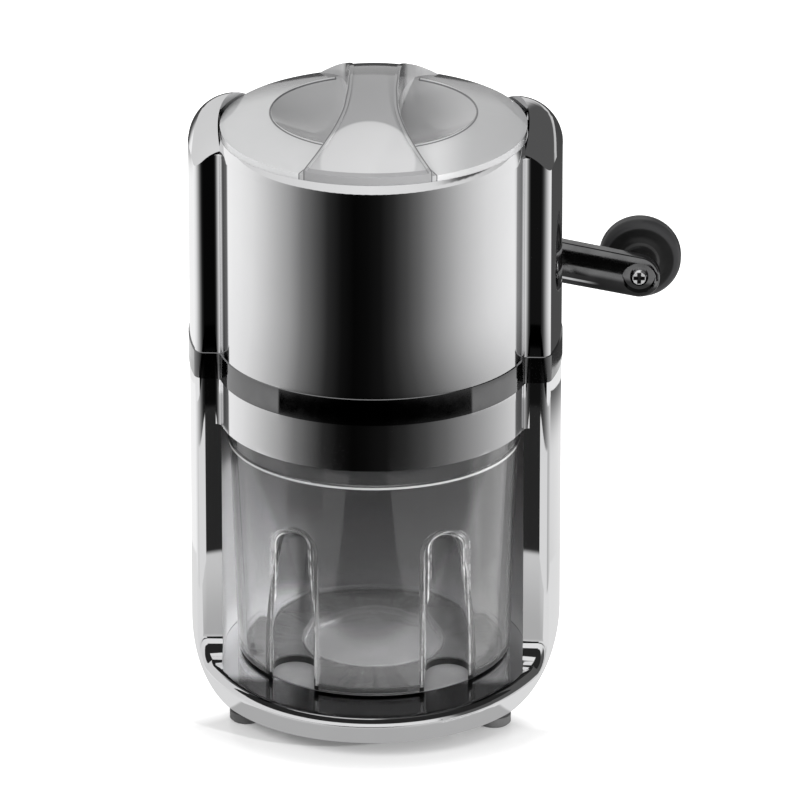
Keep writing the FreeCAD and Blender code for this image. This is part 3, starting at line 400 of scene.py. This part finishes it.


# the bucket: haze painted lighter towards the foot as painted light, two finger flutes at fluteX each side, painted
# shade in a bowl shape between them
bucketLook = {"name": "bucketPlastic", "dark": (0.5, 0.5, 0.505), "light": (0.55, 0.55, 0.555), "through": 0.95,
              "ior": 1.49, "toneScale": 20, "rough": (0.02, 0.06), "roughScale": 60, "bump": 0.02,
              "bumpScale": 40, "bumpDepth": 0.0001, "shadowShare": 0.85,
              "hazeFrom": (0.025, 0.105), "hazeShadedTop": (0.46, 0.46, 0.465), "hazeLitFoot": (0.92, 0.92, 0.925),
              "fluteX": 0.0295, "archHeight": 0.075, "fluteFront": -0.036, "fluteHighlights": (0.0077, 0.0091),
              "lineShares": (1.0, 0.45), "lineHalf": (0.0002, 0.0004), "highlightTone": (0.85, 0.85, 0.85),
              "taperHeight": (0.025, 0.072), "taper": 0.0010, "lineNoise": (160, 3), "highlightBreakup": (0.35, 1.0),
              "highlightBreakupSpan": (0.4, 0.6),
              "archShadeEdge": (0.0066, 0.0074), "archShadeHeight": (0.046, 0.060), "archShadeShare": 0.5,
              "shadeTone": (0.0, 0.0, 0.0),
              "arcBack": 0.0253, "arcFar": 0.0100, "arcHigh": 0.0192,
              "bowlShade": (0.034, 0.047), "bowlRise": 33.3, "bowlShadeShare": 0.34, "bowlFront": -0.02,
              "paleRightFrom": (0.036, 0.042), "paleRightTone": (0.97, 0.97, 0.97),
              "rimHighlightLine": 0.1046, "rimHalf": (0.0003, 0.0006), "rimHighlightShare": 0.72,
              "edgeFrom": (0.85, 0.90), "edgeShare": 0.9,
              "footLine": (0.0168, 0.0178), "footShadeTone": (0.02, 0.02, 0.02), "solidThrough": 0.1}


def fluteHighlights(tree, y, z, far):
    # two painted highlight bands along each flute's rounded edge: where far, plus a taper that grows upwards, is near
    # each radius
    look = bucketLook
    lines = None
    wide = mathNode(tree, "ADD", far, smoothOf(tree, z, *look["taperHeight"], 0.0, look["taper"]))
    for radius, share in zip(look["fluteHighlights"], look["lineShares"]):
        line = smoothOf(tree, offBy(tree, wide, radius), *look["lineHalf"], share, 0.0)
        lines = line if lines is None else mathNode(tree, "MAXIMUM", lines, line)
    # a noise breaks up the painted highlights along their length
    wearAndBreakup = noiseOn(tree, *look["lineNoise"])
    return product(tree, lines, mathNode(tree, "LESS_THAN", y, look["fluteFront"]),
                   rangeOf(tree, wearAndBreakup.outputs["Fac"], *look["highlightBreakup"], look["highlightBreakupSpan"]))


def makeBucketPlastic():
    # haze painted lighter towards the foot as painted light, painted highlights along the flutes' edges, the rim and
    # where seen edge on, painted shade in a bowl and in the left arch, painted dark lines along the foot
    look = bucketLook
    mat = surfaceMaterial(look)
    tree = mat.node_tree
    shader = tree.nodes["Principled BSDF"]
    x, y, z = hopperPlace(tree)
    aside = mathNode(tree, "SUBTRACT", mathNode(tree, "ABSOLUTE", x), look["fluteX"])
    over = mathNode(tree, "MAXIMUM", mathNode(tree, "SUBTRACT", z, look["archHeight"]), 0.0)
    far = axisFar(tree, aside, over)     # from the flute's middle line, and above the arch from its centre
    # painted light: the haze is painted darker towards the top and lighter towards the foot
    tint = mixTint(tree, smoothOf(tree, z, *look["hazeFrom"], 1.0, 0.0), look["hazeShadedTop"], look["hazeLitFoot"])
    # paler to the right of x 36 to 42 mm, beyond the right flute
    tint = mixTint(tree, smoothOf(tree, x, *look["paleRightFrom"], 0.0, 1.0), tint, look["paleRightTone"])

    # painted shade: a bowl-shaped dark zone between the flutes, standing in for the bay's dark back seen through
    bowlShade = mathNode(tree, "SUBTRACT", z, product(tree, x, x, look["bowlRise"]))
    bowlShade = product(tree, smoothOf(tree, bowlShade, *look["bowlShade"], 0.0, look["bowlShadeShare"]),
                   mathNode(tree, "LESS_THAN", y, look["bowlFront"]))
    # painted shade inside the left flute's arch
    inside = product(tree, smoothOf(tree, far, *look["archShadeEdge"], 1.0, 0.0),
                     smoothOf(tree, z, *look["archShadeHeight"], 0.0, look["archShadeShare"]),
                     mathNode(tree, "LESS_THAN", x, 0.0))
    tint = mixTint(tree, mathNode(tree, "MAXIMUM", bowlShade, inside), tint, look["shadeTone"])

    # painted highlight: a pale line along the rim
    rim = smoothOf(tree, offBy(tree, z, look["rimHighlightLine"]), *look["rimHalf"], look["rimHighlightShare"], 0.0)
    lines = mathNode(tree, "MAXIMUM", fluteHighlights(tree, y, z, far), rim)
    # painted highlight where the bucket is seen edge on
    edge = smoothOf(tree, facingOf(tree), *look["edgeFrom"], 0.0, look["edgeShare"])
    lines = mathNode(tree, "MAXIMUM", lines, edge)
    tint = mixTint(tree, lines, tint, look["highlightTone"])

    # painted shade: dark lines along the foot and round the flutes' ends, standing in for the dark edge seen through
    # the plastic there
    back = mathNode(tree, "MAXIMUM", mathNode(tree, "ADD", y, look["arcBack"]), 0.0)
    arc = product(tree, mathNode(tree, "LESS_THAN", axisFar(tree, aside, back), look["arcFar"]),
                  mathNode(tree, "LESS_THAN", z, look["arcHigh"]))
    foot = mathNode(tree, "MAXIMUM", smoothOf(tree, z, *look["footLine"], 1.0, 0.0), arc)
    tree.links.new(mixTint(tree, foot, tint, look["footShadeTone"]), shader.inputs["Base Color"])
    solid = mathNode(tree, "MAXIMUM", lines, foot)
    tree.links.new(mixValue(tree, solid, look["through"], look["solidThrough"]), shader.inputs["Transmission Weight"])
    shadowPass(mat, look["shadowShare"])
    return mat


pivot = {"x": 0.1012, "z": 0.1398}     # the knob's axis, x from the hopper axis
armLook = {"name": "armGloss", "metallic": 1.0, "dark": (0.16, 0.16, 0.162), "light": (0.24, 0.24, 0.242),
           "toneScale": 90, "rough": (0.05, 0.12), "roughScale": 120, "bump": 0.03, "bumpScale": 90,
           "bumpDepth": 0.0001, "tilt": (0.1864, 0.9825), "lowFrom": (-0.0032, -0.0012), "lowReflectionShare": 0.78,
           "lowPaintedTone": (0.0, 0.0, 0.0),
           "line": -0.0056, "lineHalf": (0.0003, 0.0006), "lineEnd": (0.078, 0.086), "highlightTone": (0.75, 0.75, 0.755)}
knobLook = {"name": "knobBlack", "dark": (0.006, 0.006, 0.006), "light": (0.012, 0.012, 0.012),
            "toneScale": 80, "rough": (0.30, 0.38), "roughScale": 120, "bump": 0.05, "bumpScale": 600,
            "bumpDepth": 0.0001, "specular": 0.3, "rimFrom": (0.0130, 0.0138), "rimHighlightTone": (0.034, 0.034, 0.035),
            "ring": 0.0074, "ringHalf": (0.0003, 0.0006), "ringHighlightTone": (0.03, 0.03, 0.03)}
crossLook = {**screwLook, "name": "crossScrew", "half": (0.0007, 0.0009), "reach": (0.0022, 0.0024),
             "crossShadeTone": (0.03, 0.03, 0.03)}


def pivotPlace(tree):
    # sideways and upward distance from the knob's axis, in metres
    x, z = objectPlace(tree)[::2]
    return mathNode(tree, "SUBTRACT", x, axisX + pivot["x"]), mathNode(tree, "SUBTRACT", z, pivot["z"])


def makeArmGloss():
    # across = x tilt + z tilt is the distance above the arm's middle line: painted dark reflection below it, with one
    # painted highlight line
    mat = surfaceMaterial(armLook)
    tree = mat.node_tree
    slot = tree.nodes["Principled BSDF"].inputs["Base Color"]
    x, z = pivotPlace(tree)
    across = mathNode(tree, "ADD", product(tree, x, armLook["tilt"][0]), product(tree, z, armLook["tilt"][1]))
    # painted reflection: the arm's lower half is painted dark, as if mirroring dark surroundings
    low = smoothOf(tree, across, *armLook["lowFrom"], armLook["lowReflectionShare"], 0.0)
    tint = mixTint(tree, low, slot.links[0].from_socket, armLook["lowPaintedTone"])
    # painted highlight: one light line along the arm, ending short of the screw
    along = mathNode(tree, "ADD", x, pivot["x"])
    line = product(tree, smoothOf(tree, offBy(tree, across, armLook["line"]), *armLook["lineHalf"], 1.0, 0.0),
                   smoothOf(tree, along, *armLook["lineEnd"], 1.0, 0.0))
    tree.links.new(mixTint(tree, line, tint, armLook["highlightTone"]), slot)
    return mat


def makeKnobBlack():
    # a painted highlight on the round edge and one faint painted highlight ring on the face, both by distance from
    # the knob's axis
    mat = surfaceMaterial(knobLook)
    tree = mat.node_tree
    slot = tree.nodes["Principled BSDF"].inputs["Base Color"]
    far = axisFar(tree, *pivotPlace(tree))
    # painted highlight: the knob's round edge is painted paler
    tint = mixTint(tree, smoothOf(tree, far, *knobLook["rimFrom"], 0.0, 1.0), slot.links[0].from_socket,
                   knobLook["rimHighlightTone"])
    # painted highlight: one faint pale ring on the knob's face
    ring = smoothOf(tree, offBy(tree, far, knobLook["ring"]), *knobLook["ringHalf"], 1.0, 0.0)
    tree.links.new(mixTint(tree, ring, tint, knobLook["ringHighlightTone"]), slot)
    return mat


def makeCrossScrew():
    # painted shade in the cross sunk in the screw head: the lesser of |x| and |z| is small, the greater within the
    # arm's length
    mat = surfaceMaterial(crossLook)
    tree = mat.node_tree
    slot = tree.nodes["Principled BSDF"].inputs["Base Color"]
    x, z = [mathNode(tree, "ABSOLUTE", side) for side in pivotPlace(tree)]
    # painted shade: the cross recess is painted dark
    cross = product(tree, smoothOf(tree, mathNode(tree, "MINIMUM", x, z), *crossLook["half"], 1.0, 0.0),
                    smoothOf(tree, mathNode(tree, "MAXIMUM", x, z), *crossLook["reach"], 1.0, 0.0))
    tree.links.new(mixTint(tree, cross, slot.links[0].from_socket, crossLook["crossShadeTone"]), slot)
    return mat


frameChrome = makeFrameChrome()
lidPlastic = makeLidPlastic()
bucketPlastic = makeBucketPlastic()
armGloss = makeArmGloss()
knobBlack = makeKnobBlack()
crossScrew = makeCrossScrew()
print("materials made:", len(bpy.data.materials))

nodeFinish = {
    "upper_housing": chromePlate, "lower_frame": frameChrome, "mid_band": bandGloss,
    "bottom_cover": satinBlack, "base_screws": screwChrome, "bucket_rest": padGrey,
    "foot_front_left": footRubber, "foot_front_right": footRubber,
    "foot_rear_left": footRubber, "foot_rear_right": footRubber,
    "hopper_liner": linerGrey, "crusher_cage": satinBlack, "cage_screws": screwChrome,
    "throat_plate": satinBlack, "breaker_comb": bladeSteel, "front_bush": bushNylon,
    "rear_bush": bushNylon, "rear_cover": blackGloss, "rear_cover_screws": screwChrome,
    "drive_shaft": bladeSteel, "shaft_retainer": bladeSteel, "rotor_spacers": bushNylon,
    "rotor_blade_1": bladeSteel, "rotor_blade_2": bladeSteel, "rotor_blade_3": bladeSteel,
    "rotor_blade_4": bladeSteel, "rotor_blade_5": bladeSteel, "crank_arm": armGloss,
    "crank_nut": screwChrome, "knob_spindle": bladeSteel, "knob_screw": crossScrew,
    "knob": knobBlack, "knob_cap": blackGloss, "lid": lidPlastic, "bucket": bucketPlastic,
}
for nodeName, finish in nodeFinish.items():
    obj = nodes[nodeName]
    if not obj.data.materials:
        obj.data.materials.append(finish)
    for slot in obj.material_slots:
        slot.material = finish
print("finishes given to", len(nodeFinish), "nodes")

# the floor as the shiny pieces see it, by angle round the hopper (0 is the front, + towards the crank) and by
# distance: the far ring here, then the near ring, a strip behind, a dark sector, and what the band mirrors
farByAngle = [(-180, 0.94), (-149, 0.94), (-125, 0.93), (-108, 0.87), (-94, 0.78), (-82, 0.64), (-70, 0.48),
              (-59, 0.34), (-49, 0.176), (-39, 0.087), (-30, 0.024), (-20, 0.0056), (-11, 0.002), (-2, 0.0033),
              (7, 0.0071), (16, 0.023), (25.5, 0.0615), (35, 0.129), (45, 0.24), (55, 0.36), (66, 0.50),
              (77, 0.62), (90, 0.74), (104, 0.815), (121, 0.885), (180, 0.92)]
cardLook = {"narrowFrom": 0.37, "narrowTo": 0.50, "narrowTurn": (-8, 8), "narrowLeft": 0.90, "narrowRight": 0.66,
            "nearEdge": (0.168, 0.174), "nearSpan": (61, 63), "nearFrom": (0.10, 0.17), "nearFront": (0.44, 0.60),
            "nearSide": 0.76,
            "stripHalf": 0.068, "stripSoft": 0.004, "stripTurn": 0.0415, "stripBack": 0.055, "stripReach": 3.25,
            "stripTo": 0.322, "stripEnd": 0.006, "stripSpan": (84, 92), "stripTone": 0.022, "stripSide": 0.74,
            "backFrom": (0.58, 0.66), "backTurn": (140, 160), "backTone": 0.06,
            "sector": (122, 136), "sectorEnd": (164, 176), "sectorTone": 0.07, "sectorFrom": (0.26, 0.38),
            "bandFrom": 0.3315, "bandTo": 0.3585, "bandLeft": (-66, -68), "bandRight": (73, 75), "bandTone": 0.85,
            "wall": 0.0602}
# the same for rays that go up
skyByAngle = [(-180, 0.80), (-120, 0.84), (-60, 0.92), (0, 1.0), (60, 0.92), (120, 0.62), (180, 0.80)]
skyLook = {"darkTurn": (40, 75), "darkEnd": (160, 178), "darkRise": (0.03, 0.10), "darkTone": 0.11}
flagLook = {"height": 0.100, "inner": 0.078, "outer": 0.200, "reach": 100, "columns": 61, "glow": 0.02}
studio = {"floorSize": 6.0, "floorTone": 0.80, "floorVary": 1.01, "floorNoise": (3.0, 3), "floorRough": 0.16,
          "floorShine": 0.22, "liftNear": 0.16, "liftFar": 1.0, "liftFrom": 0.075, "liftTo": 0.115,
          "liftAside": (48, 74), "ambient": 0.62}


def greyRamp(tree, source, turnSpan, table):
    # grey level by angle: the source's span becomes -180 to 180 degrees, straight between the table's stops
    ramp = tree.nodes.new("ShaderNodeValToRGB")
    tree.links.new(rangeOf(tree, source, 0.0, 1.0, turnSpan), ramp.inputs["Fac"])
    stops = ramp.color_ramp.elements
    while len(stops) < len(table):
        stops.new(0.5)
    for stop, (angle, level) in zip(stops, table):
        stop.position = (angle + 180) / 360
    for stop, (angle, level) in zip(stops, table):
        stop.color = (level, level, level, 1)
    return ramp.outputs["Color"]


def cardLevel(tree, far, turn, x, y):
    # grey level of the floor in reflections: far and near rings, a dark sector, and what the band mirrors
    c = cardLook
    squeeze = smoothOf(tree, turn, *c["narrowTurn"], c["narrowLeft"], c["narrowRight"])
    squeeze = smoothOf(tree, far, c["narrowFrom"], c["narrowTo"], squeeze, 1.0)
    outer = greyRamp(tree, product(tree, turn, squeeze), (-180, 180), farByAngle)
    side = mathNode(tree, "ABSOLUTE", turn)
    front = smoothOf(tree, far, *c["nearFrom"], *c["nearFront"])
    inner = smoothOf(tree, side, *c["nearSpan"], front, c["nearSide"])

    run = mathNode(tree, "ADD", y, c["stripBack"])     # the strip fans out as the eye's rays do
    across = mathNode(tree, "SUBTRACT", x, product(tree, run, c["stripTurn"]))
    across = mathNode(tree, "DIVIDE", across, mathNode(tree, "SUBTRACT", 1.0,
                                                       mathNode(tree, "DIVIDE", run, c["stripReach"])))
    strip = smoothOf(tree, mathNode(tree, "ABSOLUTE", across), c["stripHalf"], c["stripHalf"] + c["stripSoft"],
                     c["stripTone"], c["stripSide"])
    middle = smoothOf(tree, side, *c["stripSpan"], strip, outer)
    outer = smoothOf(tree, far, c["stripTo"], c["stripTo"] + c["stripEnd"], middle, outer)
    level = smoothOf(tree, far, *c["nearEdge"], inner, outer)

    sector = product(tree, smoothOf(tree, turn, *c["sector"], 0.0, 1.0),
                     smoothOf(tree, turn, *c["sectorEnd"], 1.0, 0.0), smoothOf(tree, far, *c["sectorFrom"], 0.0, 1.0))
    level = smoothOf(tree, sector, 0.0, 1.0, level, c["sectorTone"])
    rear = product(tree, smoothOf(tree, side, *c["backTurn"], 0.0, 1.0),
                   smoothOf(tree, far, *c["backFrom"], 0.0, 1.0))
    level = smoothOf(tree, rear, 0.0, 1.0, level, c["backTone"])

    half = mathNode(tree, "COSINE", product(tree, turn, math.pi / 360))
    reach = mathNode(tree, "SUBTRACT", far, product(tree, half, c["wall"]))     # from the wall, not the axis
    inBand = product(tree, mathNode(tree, "GREATER_THAN", reach, c["bandFrom"]),
                     mathNode(tree, "LESS_THAN", reach, c["bandTo"]))
    bandLevel = mathNode(tree, "MAXIMUM", smoothOf(tree, turn, *reversed(c["bandLeft"]), c["bandTone"], 0.0),
                         smoothOf(tree, turn, *c["bandRight"], 0.0, c["bandTone"]))
    return smoothOf(tree, inBand, 0.0, 1.0, level, bandLevel)


def makeFlag():
    # black sheet over the base ring that only rays going up can see; (r, angle) rings about the hopper
    look = flagLook
    turn = np.radians(np.linspace(-look["reach"], look["reach"], look["columns"]))
    rad = np.array([look["inner"], look["outer"]])[:, None]
    pts = np.stack([axisX + rad * np.sin(turn), axisY - rad * np.cos(turn), look["height"] + 0 * rad * turn], axis=-1)
    mat, tree, shader = newMaterial("blackFlag")
    tree.nodes.remove(shader)
    side = tree.nodes.new("ShaderNodeNewGeometry")
    dark = tree.nodes.new("ShaderNodeEmission")
    dark.inputs["Strength"].default_value = look["glow"]
    clear = tree.nodes.new("ShaderNodeBsdfTransparent")
    swap = tree.nodes.new("ShaderNodeMixShader")
    tree.links.new(side.outputs["Backfacing"], swap.inputs[0])
    tree.links.new(clear.outputs[0], swap.inputs[1])
    tree.links.new(dark.outputs[0], swap.inputs[2])
    tree.links.new(swap.outputs[0], tree.nodes["Material Output"].inputs["Surface"])
    quads = gridFaces(len(rad), look["columns"])
    flag = makeMesh("blackFlag", pts.reshape(-1, 3), quads[:, ::-1], mat)
    if flag.data.polygons[0].normal.z < 0:
        flag.data.flip_normals()
    flag.visible_camera = False
    flag.visible_diffuse = False
    flag.visible_shadow = False
    flag.visible_transmission = False


def makeFloor():
    # one flat sheet: pale and softly shining to the eye, graded to the shiny pieces
    size = studio["floorSize"]
    tone = studio["floorTone"]
    pts = np.array([[-size, -size, 0], [size, -size, 0], [size, size, 0], [-size, size, 0]])
    mat, tree, shader = newMaterial("paleFloor")
    fine = noiseOn(tree, *studio["floorNoise"])
    tree.links.new(tintOf(tree, fine.outputs["Fac"], (tone,) * 3, (tone * studio["floorVary"],) * 3),
                   shader.inputs["Base Color"])
    shader.inputs["Roughness"].default_value = studio["floorRough"]
    shader.inputs["Specular IOR Level"].default_value = studio["floorShine"]
    x, y = hopperPlace(tree)[:2]
    far = axisFar(tree, x, y)
    turn = product(tree, mathNode(tree, "ARCTAN2", x, product(tree, y, -1.0)), 180 / math.pi)
    path = tree.nodes.new("ShaderNodeLightPath")
    seen = mathNode(tree, "MAXIMUM", path.outputs["Is Camera Ray"], path.outputs["Is Transmission Ray"])
    lift = smoothOf(tree, far, studio["liftFrom"], studio["liftTo"], studio["liftNear"], studio["liftFar"])
    aside = smoothOf(tree, mathNode(tree, "ABSOLUTE", turn), *studio["liftAside"], 0.0, studio["liftFar"])
    shader.inputs["Emission Color"].default_value = (1, 1, 1, 1)
    lift = mathNode(tree, "MAXIMUM", lift, aside)
    tree.links.new(product(tree, seen, lift), shader.inputs["Emission Strength"])
    glow = tree.nodes.new("ShaderNodeEmission")
    tree.links.new(cardLevel(tree, far, turn, x, y), glow.inputs["Strength"])
    swap = tree.nodes.new("ShaderNodeMixShader")
    tree.links.new(path.outputs["Is Glossy Ray"], swap.inputs[0])
    tree.links.new(shader.outputs[0], swap.inputs[1])
    tree.links.new(glow.outputs[0], swap.inputs[2])
    tree.links.new(swap.outputs[0], tree.nodes["Material Output"].inputs["Surface"])
    floor = makeMesh("studioFloor", pts, np.array([[0, 1, 2, 3]]), mat)


def makeWorld():
    # white to the eye and through clear pieces, graded by angle in reflections, plain for soft light
    world = bpy.data.worlds.new("studioWorld")
    scene.world = world
    world.use_nodes = True
    tree = world.node_tree
    tree.nodes.clear()
    out = tree.nodes.new("ShaderNodeOutputWorld")
    path = tree.nodes.new("ShaderNodeLightPath")
    coord = tree.nodes.new("ShaderNodeTexCoord")
    split = tree.nodes.new("ShaderNodeSeparateXYZ")
    tree.links.new(coord.outputs["Generated"], split.inputs[0])
    turn = mathNode(tree, "ARCTAN2", split.outputs["X"], product(tree, split.outputs["Y"], -1.0))
    sky = greyRamp(tree, turn, (-math.pi, math.pi), skyByAngle)
    angle = product(tree, turn, 180 / math.pi)
    dark = product(tree, smoothOf(tree, angle, *skyLook["darkTurn"], 0.0, 1.0),
                   smoothOf(tree, angle, *skyLook["darkEnd"], 1.0, 0.0),
                   smoothOf(tree, split.outputs["Z"], *skyLook["darkRise"], 0.0, 1.0))
    sky = smoothOf(tree, dark, 0.0, 1.0, sky, skyLook["darkTone"])
    plain = tree.nodes.new("ShaderNodeBackground")
    plain.inputs["Strength"].default_value = studio["ambient"]
    shine = tree.nodes.new("ShaderNodeBackground")
    tree.links.new(sky, shine.inputs["Strength"])
    white = tree.nodes.new("ShaderNodeBackground")
    mirrored = tree.nodes.new("ShaderNodeMixShader")
    shown = tree.nodes.new("ShaderNodeMixShader")
    seen = mathNode(tree, "MAXIMUM", path.outputs["Is Camera Ray"], path.outputs["Is Transmission Ray"])
    tree.links.new(path.outputs["Is Glossy Ray"], mirrored.inputs[0])
    tree.links.new(plain.outputs[0], mirrored.inputs[1])
    tree.links.new(shine.outputs[0], mirrored.inputs[2])
    tree.links.new(seen, shown.inputs[0])
    tree.links.new(mirrored.outputs[0], shown.inputs[1])
    tree.links.new(white.outputs[0], shown.inputs[2])
    tree.links.new(shown.outputs[0], out.inputs["Surface"])


def awayFrom(turn, rise):
    # unit vector at an angle round the hopper (0 is the front, + towards the crank) and above the table, in radians
    return np.array([math.sin(turn) * math.cos(rise), -math.cos(turn) * math.cos(rise), math.sin(rise)])


def makeLamp(name, look):
    # square lamp at an angle and height about the hopper, aimed at the middle of the body
    data = bpy.data.lights.new(name, "AREA")
    data.size = look["size"]
    data.energy = look["watts"]
    lamp = bpy.data.objects.new(name, data)
    scene.collection.objects.link(lamp)
    away = awayFrom(math.radians(look["turn"]), math.radians(look["rise"]))
    lamp.location = np.array([axisX, axisY, look["aim"]]) + away * look["far"]
    lamp.rotation_euler = mathutils.Vector(-away).to_track_quat("-Z", "Y").to_euler()
    lamp.visible_glossy = False


keyLook = {"turn": -52, "rise": 40, "far": 1.5, "size": 0.8, "watts": 11, "aim": 0.12}
fillLook = {"turn": 56, "rise": 14, "far": 1.3, "size": 0.05, "watts": 13, "aim": 0.07}
makeFloor()
makeFlag()
makeWorld()
makeLamp("keyLeft", keyLook)
makeLamp("fillRight", fillLook)
print("studio set")

shot = {"elevation": 21.7, "azimuth": 2.2, "distance": 3.5, "pixelsPerMm": 2.586,
        "aimRight": 10.07, "aimHeight": 118.7, "frame": 800, "sensor": 36, "clipEnd": 50}


def makeCamera():
    # stands back from the aim point by the distance; the lens makes one millimetre there pixelsPerMm wide
    turn = math.radians(shot["azimuth"])
    away = awayFrom(turn, math.radians(shot["elevation"]))
    right = np.array([math.cos(turn), math.sin(turn), 0])
    aim = np.array([axisX, axisY, shot["aimHeight"] * mm]) + right * shot["aimRight"] * mm
    data = bpy.data.cameras.new("shotCamera")
    data.sensor_width = shot["sensor"]
    data.lens = shot["sensor"] * shot["distance"] / (shot["frame"] / shot["pixelsPerMm"] * mm)
    data.clip_end = shot["clipEnd"]
    cam = bpy.data.objects.new("shotCamera", data)
    scene.collection.objects.link(cam)
    cam.location = aim + away * shot["distance"]
    cam.rotation_euler = mathutils.Vector(-away).to_track_quat("-Z", "Y").to_euler()
    bpy.context.scene.camera = cam


makeCamera()
scene.view_settings.view_transform = "Standard"
print("camera set")
